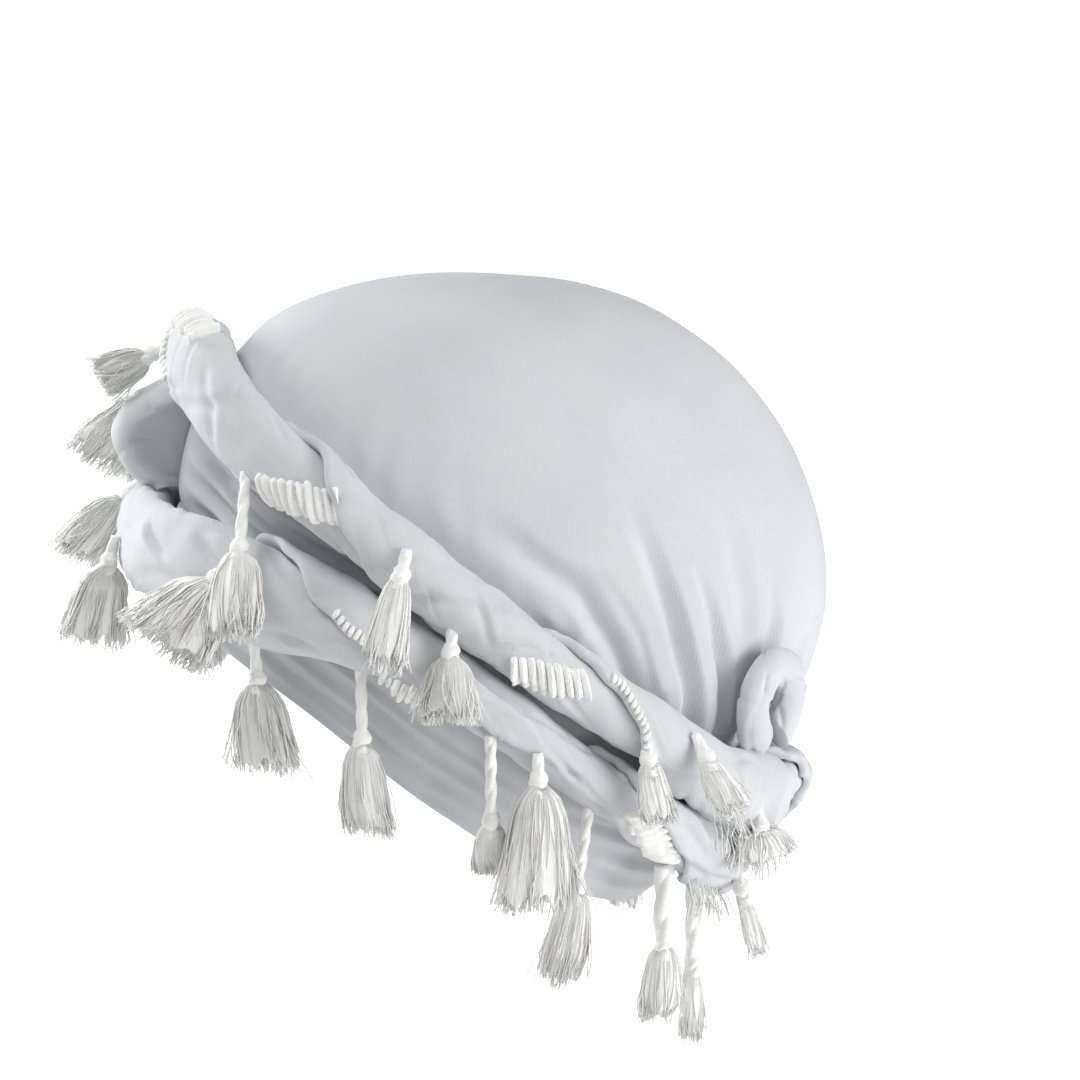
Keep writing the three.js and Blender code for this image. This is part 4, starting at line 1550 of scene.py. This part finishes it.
@dataclass(frozen=True)
class Heading:
    """A ribbed heading of the fringe along a roll, from one azimuth and angle round it to another."""

    node: str
    roll: str
    start: float
    end: float
    around_start: float
    around_end: float
    seed: int
    width: float = 11 * MM
    pitch: float = 2.25 * MM
    ridge: float = 2.7 * MM
    base: float = 0.7 * MM
    rib_rows: int = 12
    top_columns: int = 27
    under_columns: int = 7

    def patch(self) -> Patch:
        """A ribbon whose ribs cross it.

        The height above the cloth is a base plus a power of the cosine along the ribbon, one wave for a
        rib, times a flat-topped curve across it that rises to a bead at either end. Each rib has its
        own size and slant.

        Returns:
            A closed surface that lies on the roll.
        """
        roll = ROLLS[self.roll]
        a0, a1, k0, k1 = np.radians([self.start, self.end, self.around_start, self.around_end])
        middle = roll.station(np.array([0.5 * (a0 + a1)]))[0]
        arm = np.linalg.norm(middle[0, :2])
        girth = float(roll.half_width.at(0.5 * (a0 + a1)))
        run = np.array([(a1 - a0) * arm, (k1 - k0) * girth])
        length = np.hypot(*run)
        ribs = max(3, int(round(length / self.pitch)))
        across = np.array([-run[1], run[0]]) / length * 0.5 * self.width
        t = np.linspace(0.0, 1.0, self.rib_rows * ribs + 1)[:, None]
        under = np.linspace(0.9, -0.9, self.under_columns)
        side = np.concatenate([np.linspace(-1.0, 1.0, self.top_columns), under])[None]
        top = np.arange(side.size)[None] < self.top_columns
        rng = np.random.default_rng(self.seed)
        which = np.clip((t * ribs).astype(int), 0, ribs - 1)
        size, slant, long = (rng.normal(0.0, s, ribs)[which] for s in (0.15, 0.35, 0.12))
        wave = np.abs(np.sin(np.pi * (t * ribs + 0.5 * slant * side * np.sin(np.pi * t * ribs) ** 2)))
        rib = wave**0.65
        end = 1.0 - np.abs(side) ** 5
        bead = np.exp(-(((np.abs(side) - 0.82) / 0.12) ** 2))
        height = self.base + self.ridge * (1.0 + size) * rib * (0.82 * end + 0.3 * bead)
        taper = smooth_step(t, 0.0, 0.03) * smooth_step(1.0 - t, 0.0, 0.03)
        height = np.where(top, height * end**0.35 * taper - 0.3 * MM, -1.2 * MM)
        wide = side * (0.9 + 0.14 * rib + 0.5 * long)
        azimuth = a0 + (a1 - a0) * t + wide * across[0] / arm
        around = k0 + (k1 - k0) * t + wide * across[1] / girth
        flat = roll.surface(azimuth, around)
        points = roll.surface(azimuth, around, height)
        uv_t = np.broadcast_to(t * ribs, (t.shape[0], side.shape[1] + 1))
        uv_s = np.concatenate([side, side[:, :1]], axis=1) * 0.5 * self.width + 0.0 * t
        uv = np.stack([0.5 * uv_t, uv_s], axis=-1)
        poles = flat[0].mean(axis=0), flat[-1].mean(axis=0)
        return Patch.grid(points, uv, poles=poles, flip=True)

    def build(self) -> list[bpy.types.Object]:
        """Builds and dresses the heading."""
        return [dress(self.patch().to_object(f"{self.node}_ribs"), COTTON, self.node)]


# Places along a skirt, with its half breadth and half depth there as shares of its width.
SKIRT_MARKS = ((0.25, 0.36, 0.4), (0.65, 0.45, 0.5), (1.0, 0.5, 0.5))
# Places along a knot, and its radius there in millimetres.
KNOT_PLACES = (0.0, 0.08, 0.25, 0.5, 0.75, 1.0)
KNOT_RADII = (1.5, 2.0, 2.5, 2.5, 2.3, 2.4)


@dataclass(frozen=True)
class Tassel:
    """A tassel tied to a roll: lengths in millimetres, angles in degrees.

    It drops from its tie and, for each unit that it drops, stands out from the head and leans back.
    """

    node: str
    roll: str
    azimuth: float
    around: float
    cord: float
    cord_radius: float
    skirt: float
    width: float
    stand: float
    lean: float
    turn: float
    seed: int
    knot_radius: float = 3.2
    knot_length: float = 5.0
    neck: float = 2.4
    flatness: float = 0.38
    strands: int = 230
    locks: int = 17
    stations: int = 9

    def axes(self) -> tuple[Array, Array, Array]:
        """The tassel's own ways: it drops, stands out and leans, and its skirt is turned about that.

        Returns:
            Ways along the tassel, across its skirt and through it.
        """
        azimuth = np.radians(self.azimuth)
        outward = HEAD.direction(azimuth, np.pi / 2.0)
        backward = np.cross(UPWARD, outward)
        drop = unit(self.stand * outward + self.lean * backward - UPWARD)
        depth = unit(outward - drop * (outward @ drop))
        cos, sin = np.cos(np.radians(self.turn)), np.sin(np.radians(self.turn))
        depth = depth * cos + np.cross(drop, depth) * sin
        return drop, np.cross(depth, drop), depth

    def sizes(self, along: Array) -> tuple[Array, Array]:
        """Sizes of the skirt along it, straight from mark to mark of the plain form.

        Args:
            along: Place along the skirt, from 0 to 1.

        Returns:
            Half breadths and half depths in metres.
        """
        marks, broad, deep = zip(*SKIRT_MARKS)
        marks = (0.0, 0.12, *marks)
        broad = (self.neck, 0.24 * self.width + 0.8, *(share * self.width for share in broad))
        deep = (self.neck, self.neck, *(share * self.width * self.flatness for share in deep))
        return np.interp(along, marks, broad) * MM, np.interp(along, marks, deep) * MM

    def tie(self) -> Array:
        """Point where the cord leaves the roll, brought to the plain form's own place.

        The plain form is rings of eight points, each a distance down the tassel with a half breadth and
        a half depth. Every other point of the skirt's rings is drawn in, between two locks.

        Returns:
            The point.
        """
        drop, breadth, depth = self.axes()
        roll = ROLLS[self.roll]
        azimuth, around = np.radians([self.azimuth]), np.radians([self.around])
        start = roll.section(azimuth, around, np.ones(1), np.full(1, self.cord_radius * MM))[0]
        knot = self.cord + self.knot_length
        rows = [[0.0, self.cord_radius, self.cord_radius]]
        rows += [[down, self.knot_radius, self.knot_radius] for down in (self.cord + 1.0, knot - 1.0)]
        for mark, broad, deep in (SKIRT_MARKS[0], SKIRT_MARKS[-1]):
            rows.append([knot + mark * self.skirt, broad * self.width, deep * self.width * self.flatness])
        rows = np.array(rows)
        angle = 2.0 * np.pi * np.arange(8) / 8.0
        shrink = np.where((np.arange(8) % 2 == 1) & (rows[:, :1] > knot), 0.7, 1.0)
        form = start + rows[:, None, :1] * MM * drop
        form = form + (np.cos(angle) * rows[:, 1:2] * shrink)[..., None] * MM * breadth
        form = form + (np.sin(angle) * rows[:, 2:3] * shrink)[..., None] * MM * depth
        return start + shift_to_node(form, self.node)

    def cord_patch(self, tie: Array) -> Patch:
        """Two soft plies wound round each other, each a tube on a helix about the tassel's axis.

        Args:
            tie: Where the cord leaves the roll.

        Returns:
            The plies.
        """
        drop, breadth, depth = self.axes()
        run = np.linspace(-3.0, self.cord + 1.5, max(10, int(self.cord * 2.2) + 8))[None]
        angle = 2.0 * np.pi * (run / (9.0 * self.cord_radius) + np.arange(2)[:, None] / 2.0)
        radius = 0.27 * self.cord_radius * MM
        lines = tie + run[..., None] * MM * drop
        lines = lines + radius * (np.cos(angle)[..., None] * breadth + np.sin(angle)[..., None] * depth)
        return tube_along(lines, np.full(lines.shape[:2], 0.86 * self.cord_radius * MM), 10)

    def knot_patch(self, tie: Array) -> Patch:
        """The wrapped head: a barrel with a helical groove, closed at both ends.

        Args:
            tie: Where the cord leaves the roll.

        Returns:
            The head's surface.
        """
        drop, breadth, depth = self.axes()
        rows, sides = 30, 22
        s = np.linspace(0.0, 1.0, rows)[:, None]
        angle = np.linspace(0.0, 2.0 * np.pi, sides, endpoint=False)[None]
        length = self.knot_length + 3.0
        barrel = np.interp(s, KNOT_PLACES, KNOT_RADII)
        slip = 0.7 * np.sin(2.0 * angle + self.seed)
        wrap = np.abs(np.sin(2.0 * np.pi * s - 0.5 * angle + slip)) ** 0.8
        band = smooth_step(s, 0.1, 0.25) * (1.0 - smooth_step(s, 0.75, 0.9))
        fold = 0.25 * np.cos(7.0 * angle + self.seed) * (1.0 - band) * smooth_step(s, 0.0, 0.1)
        size = (barrel + 0.7 * band * (wrap - 0.45) + fold) * MM
        points = tie + ((self.cord + s * length) * MM)[..., None] * drop
        points = points + (size * np.cos(angle))[..., None] * breadth
        points = points + (size * np.sin(angle))[..., None] * depth
        uv_s = np.broadcast_to(s * length * MM, (rows, sides + 1))
        uv_a = np.broadcast_to(np.linspace(0.0, 1.0, sides + 1)[None], (rows, sides + 1))
        poles = tie + self.cord * MM * drop, tie + (self.cord + length) * MM * drop
        return Patch.grid(points, np.stack([uv_a, uv_s], axis=-1), poles=poles)

    def plump(self) -> float:
        """How far the skirt's end draws in: the most for a narrow skirt on a long cord."""
        return float(np.clip(0.1 + 0.012 * self.cord - 0.012 * (self.width - 16.0), 0.0, 0.34))

    def down(self, reach: Array) -> Array:
        """Distance from the tie of a place along the skirt, in metres."""
        return (self.cord + self.knot_length - 1.0) * MM + reach * (self.skirt + 1.0) * MM

    def bent(self, reach: Array) -> Array:
        """How far the skirt bends to a side: the square of the place along it, its own for each tassel."""
        return 0.06 * np.sin(0.7 * self.seed) * reach**2 * self.skirt * MM

    def lock_places(self, rng: np.random.Generator) -> Array:
        """Middles of the locks in a round of radius 1, spread as the seeds of a sunflower.

        Args:
            rng: Draws the round's turn and how far each lock is out of place.

        Returns:
            Two coordinates for each lock.
        """
        angle = np.arange(self.locks) * SEED_TURN + rng.uniform(0.0, 6.0)
        ring = np.sqrt((np.arange(self.locks) + 0.5) / self.locks)
        places = np.stack([ring * np.cos(angle), ring * np.sin(angle)], axis=-1)
        return places * (1.0 + rng.normal(0.0, 0.08, (self.locks, 1)))

    def body_patch(self, tie: Array) -> Patch:
        """The close mass of threads in the skirt: its form with grooves down it and a ragged end.

        The size is that of the plain form times one less a few sines of the angle, which grow down the
        skirt; the end's reach is a sum of sines of the angle.

        Args:
            tie: Where the cord leaves the roll.

        Returns:
            A closed surface.
        """
        drop, breadth, depth = self.axes()
        rows, sides = 26, 72
        s = np.linspace(0.0, 1.0, rows)[:, None]
        angle = np.linspace(0.0, 2.0 * np.pi, sides, endpoint=False)[None]
        k = float(self.seed)
        groove = np.abs(np.sin(3.5 * angle + k + 0.5 * np.sin(3.0 * s + k))) ** 0.6
        fine = np.sin(13.0 * angle + 2.0 * k + 1.5 * s) + 0.6 * np.sin(29.0 * angle + k)
        size = 0.9 + 0.16 * (groove - 0.6) * smooth_step(s, 0.1, 0.9)
        size = size + 0.03 * fine * smooth_step(s, 0.0, 0.4)
        ragged = 0.88 + 0.05 * np.sin(5.0 * angle + k) + 0.035 * np.sin(11.0 * angle + 3.0 * k)
        reach = s * ragged
        broad, deep = self.sizes(reach)
        size = size * (1.0 - self.plump() * s**4)
        points = tie + self.down(reach)[..., None] * drop
        points = points + (size * broad * np.cos(angle) + self.bent(reach))[..., None] * breadth
        points = points + (size * deep * np.sin(angle))[..., None] * depth
        threads = np.linspace(0.0, round(2.2 * self.width), sides + 1)[None]
        uv = np.stack(np.broadcast_arrays(threads, 0.2 * s * self.skirt * MM), axis=-1)
        poles = points[0].mean(axis=0), points[-1].mean(axis=0) - 0.12 * self.skirt * MM * drop
        return Patch.grid(points, uv, poles=poles)

    def strand_patch(self, tie: Array) -> Patch:
        """The skirt's own strands, which spread from the head over its body and clump into locks.

        Each strand has a place in a round, most of them near its edge, stretched to the skirt's breadth
        and depth along it. Towards the end it draws to its lock's middle and bends with it, and it waves
        a little. Lengths differ at the cut.

        Args:
            tie: Where the cord leaves the roll.

        Returns:
            All the strands.
        """
        drop, breadth, depth = self.axes()
        rng = np.random.default_rng(self.seed)
        count = int(self.strands * (0.5 + 0.5 * self.width / 18.0))
        ring = 1.0 - 0.5 * rng.random(count) ** 2.5
        angle = np.arange(count) * SEED_TURN + rng.normal(0.0, 0.12, count)
        own = np.stack([ring * np.cos(angle), ring * np.sin(angle)], axis=-1)
        locks = self.lock_places(rng)
        which = np.argmin(((own[:, None] - locks[None]) ** 2).sum(axis=-1), axis=1)
        s = np.linspace(0.0, 1.0, self.stations)[None, :, None]
        draw = 0.22 * smooth_step(s, 0.3, 1.0)
        spot = own[:, None] * (1.0 - draw) + locks[which][:, None] * draw
        bend = rng.normal(0.0, 0.09, (self.locks, 2))[which][:, None]
        stray = np.where(rng.random((count, 1, 1)) < 0.2, 0.32, 0.08)
        wild = rng.normal(0.0, 1.0, (count, 1, 2)) * stray
        pace, start_turn = rng.uniform(0.5, 1.7, (count, 1, 1)), rng.random((count, 1, 1))
        wave = rng.normal(0.0, 0.095, (count, 1, 2)) * np.sin(2.0 * np.pi * (s * pace + start_turn))
        spot = spot * (1.0 - self.plump() * s**4) + ((wild + bend) * s + wave) * s
        lock_cut = rng.normal(0.0, 0.05, self.locks)[which]
        cut = np.clip(0.95 + lock_cut + rng.normal(0.0, 0.035, count), 0.6, 1.06)
        reach = s * cut[:, None, None]
        broad, deep = self.sizes(reach[..., 0])
        lines = tie + self.down(reach) * drop
        across = spot[..., 0] * (broad - 0.3 * MM) + self.bent(reach[..., 0])
        lines = lines + across[..., None] * breadth
        lines = lines + (spot[..., 1] * (deep - 0.2 * MM))[..., None] * depth
        thick = rng.uniform(0.2, 0.34, (count, 1)) * MM
        radius = thick * (1.0 - 0.2 * s[..., 0]) + 0.0 * reach[..., 0]
        return tube_along(lines, radius, 3)

    def build(self) -> list[bpy.types.Object]:
        """Builds and dresses the tassel.

        Returns:
            The tassel.
        """
        tie = self.tie()
        parts = self.cord_patch(tie), self.knot_patch(tie), self.body_patch(tie), self.strand_patch(tie)
        patch = Patch.joined(parts)
        return [dress(patch.to_object(f"{self.node}_strands"), COTTON, self.node)]


@dataclass(frozen=True)
class Fray:
    """Loose threads along part of a roll: azimuths and angle round in degrees, length in metres."""

    name: str
    roll: str
    start: float
    end: float
    around: float
    length: float
    threads: int
    seed: int
    locks: int = 9
    stations: int = 7

    def patch(self) -> Patch:
        """The threads, as thin tubes that come out of the roll and drop.

        A thread goes down in step with its length, stands out by a share that eases off, swings to a
        side, waves, and draws to its lock's middle by the square of the way along it.

        Returns:
            All the threads.
        """
        rng = np.random.default_rng(self.seed)
        roll = ROLLS[self.roll]
        azimuth = np.radians(rng.uniform(self.start, self.end, self.threads))
        around = np.radians(self.around + rng.normal(0.0, 13.0, self.threads))
        tie = roll.surface(azimuth, around, -0.6 * MM)[:, None]
        outward = HEAD.direction(azimuth, np.full_like(azimuth, np.pi / 2.0))[:, None]
        backward = np.cross(UPWARD, outward)
        middles = np.radians(np.linspace(self.start, self.end, self.locks))
        which = np.argmin(np.abs(azimuth[:, None] - middles[None]), axis=1)
        s = np.linspace(0.0, 1.0, self.stations)[None, :, None]
        length = (self.length * rng.uniform(0.55, 1.1, self.threads))[:, None, None]
        arm = np.linalg.norm(tie[:, 0, :2], axis=-1)
        draw = 0.6 * ((middles[which] - azimuth) * arm)[:, None, None]
        stand = rng.uniform(0.2, 0.65, (self.threads, 1, 1))
        own_swing = rng.normal(0.0, 0.2, (self.threads, 1, 1))
        swing = own_swing + rng.normal(0.0, 0.2, self.locks)[which][:, None, None]
        wave = 0.07 * np.sin(2.0 * np.pi * (1.3 * s + rng.random((self.threads, 1, 1))))
        drop = stand * s * (1.6 - 0.9 * s) * outward - s * UPWARD
        lines = tie + length * (drop + (swing + wave) * s * backward) + draw * s**2 * backward
        radius = rng.uniform(0.17, 0.28, (self.threads, 1)) * MM + 0.0 * lines[..., 0]
        return tube_along(lines, radius, 3)

    def build(self) -> list[bpy.types.Object]:
        """Builds and dresses the threads."""
        return [dress(self.patch().to_object(self.name), COTTON)]


PUFFS = (
    Puff("brow_puff", PuffKind.ROLL, -9, 55, 11.5, 10, 11, 101),
    Puff("tail_puff", PuffKind.ARCH, 134, -14, 13, 8, 6, 107),
)
# Each heading's roll, first and last azimuth, and first and last angle round the roll.
HEADING_ROWS = (
    ("upper", 33, 44, 50, -15),
    ("upper", 77, 88, 40, -25),
    ("upper", -10, 6, -25, -45),
    ("lower", 53, 64, 58, 55),
    ("lower", 99, 111, -15, 50),
    ("upper", -62, -50, -15, 50),
    ("lower", -104, -90, 20, 60),
)
# Each tassel's roll, azimuth, angle round, cord, cord radius, skirt, width, stand, lean and turn.
TASSEL_ROWS = (
    ("upper", -8, 20, 2, 1.6, 15, 16, 2, 0, 75),
    ("upper", -22, 50, 3, 1.6, 29, 26, 0.9, 0, 70),
    ("lower", -14, -50, 2, 1.6, 24, 22, 0.9, 0, 60),
    ("lower", -1, 0, 2, 1.6, 25, 26, 0.3, 0, 60),
    ("lower", 26, -45, 2, 1.6, 24, 30, 1.05, 0, -30),
    ("upper", 30, 55, 17, 1.6, 25, 23, 0.5, 0.4, -20),
    ("lower", 31, 75, 7, 1.6, 26, 23, 0, 0.1, -25),
    ("lower", 50, 82, 17, 1.6, 28, 17, 0, 0, -15),
    ("upper", 55, -15, 2, 1.6, 26, 14, 0.8, 0, -10),
    ("upper", 67, 48, 2, 1.6, 18, 19, 0.55, 0, 0),
    ("lower", 74, 45, 21, 1.6, 15, 13, 0, 0, 0),
    ("lower", 81, 20, 2, 1.6, 38, 24, 0.1, 0, 0),
    ("lower", 95, 80, 20, 1.6, 28, 17, 0, -0.15, 9),
    ("lower", 115, 75, 20, 3, 23, 16, 0, 0, 30),
    ("lower", 124, 60, 20, 2.4, 25, 10, 0, 0, 25),
    ("lower", 127, -20, 2, 1.6, 20, 8, 0.3, 0, 30),
    ("upper", 101, 10, 2, 1.6, 17, 12, 0.3, 0, 15),
    ("upper", 109, -30, 2, 1.6, 17, 13, 1, 0, 20),
    ("upper", 129, 25, 2, 1.6, 9, 22, 0.2, 0, 30),
    ("upper", -44, 55, 6, 1.6, 24, 18, 0.4, 0, 0),
    ("upper", -82, 50, 4, 1.6, 24, 18, 0.3, 0, 0),
    ("upper", -125, 50, 4, 1.6, 22, 18, 0.3, 0, 0),
    ("lower", -36, 75, 10, 1.6, 26, 18, 0, 0, 0),
    ("lower", -64, 75, 14, 1.6, 27, 17, 0, 0, 0),
    ("lower", -112, 75, 14, 1.6, 26, 17, 0, 0, 0),
    ("lower", -145, 75, 10, 1.6, 24, 17, 0, 0, 0),
)
FRAYS = (
    Fray("tail_fray", "upper", 122, 141, 55, 12 * MM, 120, 403),
    Fray("tail_end_fray", "lower", 117, 131, 50, 10 * MM, 80, 405),
)
HEADINGS = tuple(Heading(f"heading_{i + 1}", *row, seed=200 + i) for i, row in enumerate(HEADING_ROWS))
TASSELS = tuple(Tassel(f"tassel_{i + 1}", *row, seed=300 + i) for i, row in enumerate(TASSEL_ROWS))


@dataclass(frozen=True)
class SoftBox:
    """A square soft light, by its azimuth, elevation, distance and side."""

    name: str
    azimuth: float
    elevation: float
    distance: float
    side: float
    power: float

    def build(self) -> None:
        """Adds the light, facing the origin."""
        lamp = bpy.data.lights.new(self.name, "AREA")
        lamp.shape = "SQUARE"
        lamp.size = self.side
        lamp.energy = self.power
        light = bpy.data.objects.new(self.name, lamp)
        light.matrix_world = facing(self.azimuth, self.elevation, self.distance, (0.0, 0.0))
        bpy.context.scene.collection.objects.link(light)


def facing(azimuth: float, elevation: float, distance: float, aside: tuple[float, float]) -> Matrix:
    """Placement that looks at the origin, moved aside in its own view.

    Args:
        azimuth: Degrees from the front towards the wearer's left.
        elevation: Degrees above level.
        distance: Distance from the origin.
        aside: How far right and up in its view it is moved.

    Returns:
        The placement's matrix.
    """
    a, e = np.radians([azimuth, elevation])
    back = np.array([np.cos(e) * np.sin(a), -np.cos(e) * np.cos(a), np.sin(e)])
    right = np.array([np.cos(a), np.sin(a), 0.0])
    up = np.cross(back, right)
    place = back * distance + right * aside[0] + up * aside[1]
    matrix = np.eye(4)
    matrix[:3, :3] = np.stack([right, up, back], axis=1)
    matrix[:3, 3] = place
    return Matrix(matrix.tolist())


@dataclass
class Studio:
    """The camera, the lights and the floor."""

    azimuth: float = 75.0
    elevation: float = 16.0
    distance: float = 0.96
    lens: float = 100.0
    pixel: float = 0.32 * MM
    origin_pixel: tuple[float, float] = (510.0, 600.0)
    image: float = 1080.0
    sensor: float = 36.0
    floor_height: float = -0.30
    floor_reach: float = 12.0
    floor_tone: tuple[float, float] = (0.93, 0.97)
    floor_glow: float = 0.72
    world: float = 0.37
    lights: tuple[SoftBox, ...] = field(
        default=(
            SoftBox("front_softbox", -40.0, 16.0, 1.3, 0.7, 12.5),
            SoftBox("high_softbox", 14.0, 62.0, 1.3, 0.4, 7.0),
            SoftBox("back_softbox", 144.0, 6.0, 1.3, 0.8, 10.5),
            SoftBox("low_softbox", 118.0, -4.0, 1.3, 0.4, 1.9),
        )
    )

    def camera(self) -> None:
        """Adds the camera at the picture's angle, with the head's centre at its own pixel."""
        data = bpy.data.cameras.new("camera")
        data.lens = self.lens
        data.sensor_width = self.sensor
        camera = bpy.data.objects.new("camera", data)
        right = (0.5 * self.image - self.origin_pixel[0]) * self.pixel
        up = (self.origin_pixel[1] - 0.5 * self.image) * self.pixel
        camera.matrix_world = facing(self.azimuth, self.elevation, self.distance, (right, up))
        bpy.context.scene.collection.objects.link(camera)
        bpy.context.scene.camera = camera

    def floor(self) -> None:
        """Adds the pale floor, a wide level sheet, and its paint."""
        material, bench, shader = empty_material("pale_floor")
        place = bench.add("TexCoord").outputs["Object"]
        grain = bench.add("TexNoise", {"Vector": place, "Scale": 3.0}).outputs["Fac"]
        seen = bench.add("LightPath").outputs["Is Camera Ray"]
        bench.feed(shader.inputs["Base Color"], bench.mapped(grain, 0.0, 1.0, *self.floor_tone))
        bench.feed(shader.inputs["Roughness"], 0.9)
        bench.feed(shader.inputs["Emission Color"], (1.0, 1.0, 1.0, 1.0))
        bench.feed(shader.inputs["Emission Strength"], bench.math("MULTIPLY", seen, self.floor_glow))
        side = np.linspace(-self.floor_reach, self.floor_reach, 9)
        x, y = np.meshgrid(side, side)
        points = np.stack([x, y, np.full_like(x, self.floor_height)], axis=-1)
        uv = np.stack([x, y], axis=-1)
        floor = Patch.grid(points, uv, close_columns=False).to_object("floor")
        floor.data.materials.append(material)

    def light(self) -> None:
        """Adds the lights and the pale surroundings."""
        for light in self.lights:
            light.build()
        world = bpy.data.worlds.new("studio")
        world.use_nodes = True
        bench = NodeBench(world.node_tree)
        seen = bench.add("LightPath").outputs["Is Camera Ray"]
        shade = bench.add("Background", {"Color": (1.0, 1.0, 1.0, 1.0)})
        bench.feed(shade.inputs["Strength"], bench.mapped(seen, 0.0, 1.0, self.world, 1.0))
        bench.add("OutputWorld", {"Surface": shade.outputs["Background"]})
        bpy.context.scene.world = world
        bpy.context.scene.view_settings.view_transform = "Standard"

    def build(self) -> None:
        """Builds the studio."""
        self.camera()
        self.floor()
        self.light()


def main() -> None:
    """Builds the studio and the durag's pieces in order."""
    logging.basicConfig(level=logging.INFO, format="%(name)s %(message)s")
    Studio().build()
    pieces: list[bpy.types.Object] = []
    for assembly in (Crown(), Lining(), UPPER, LOWER, *PUFFS, *HEADINGS, *TASSELS, *FRAYS):
        pieces += assembly.build()
    log.info("%d pieces", len(pieces))


if __name__ == "__main__":
    main()
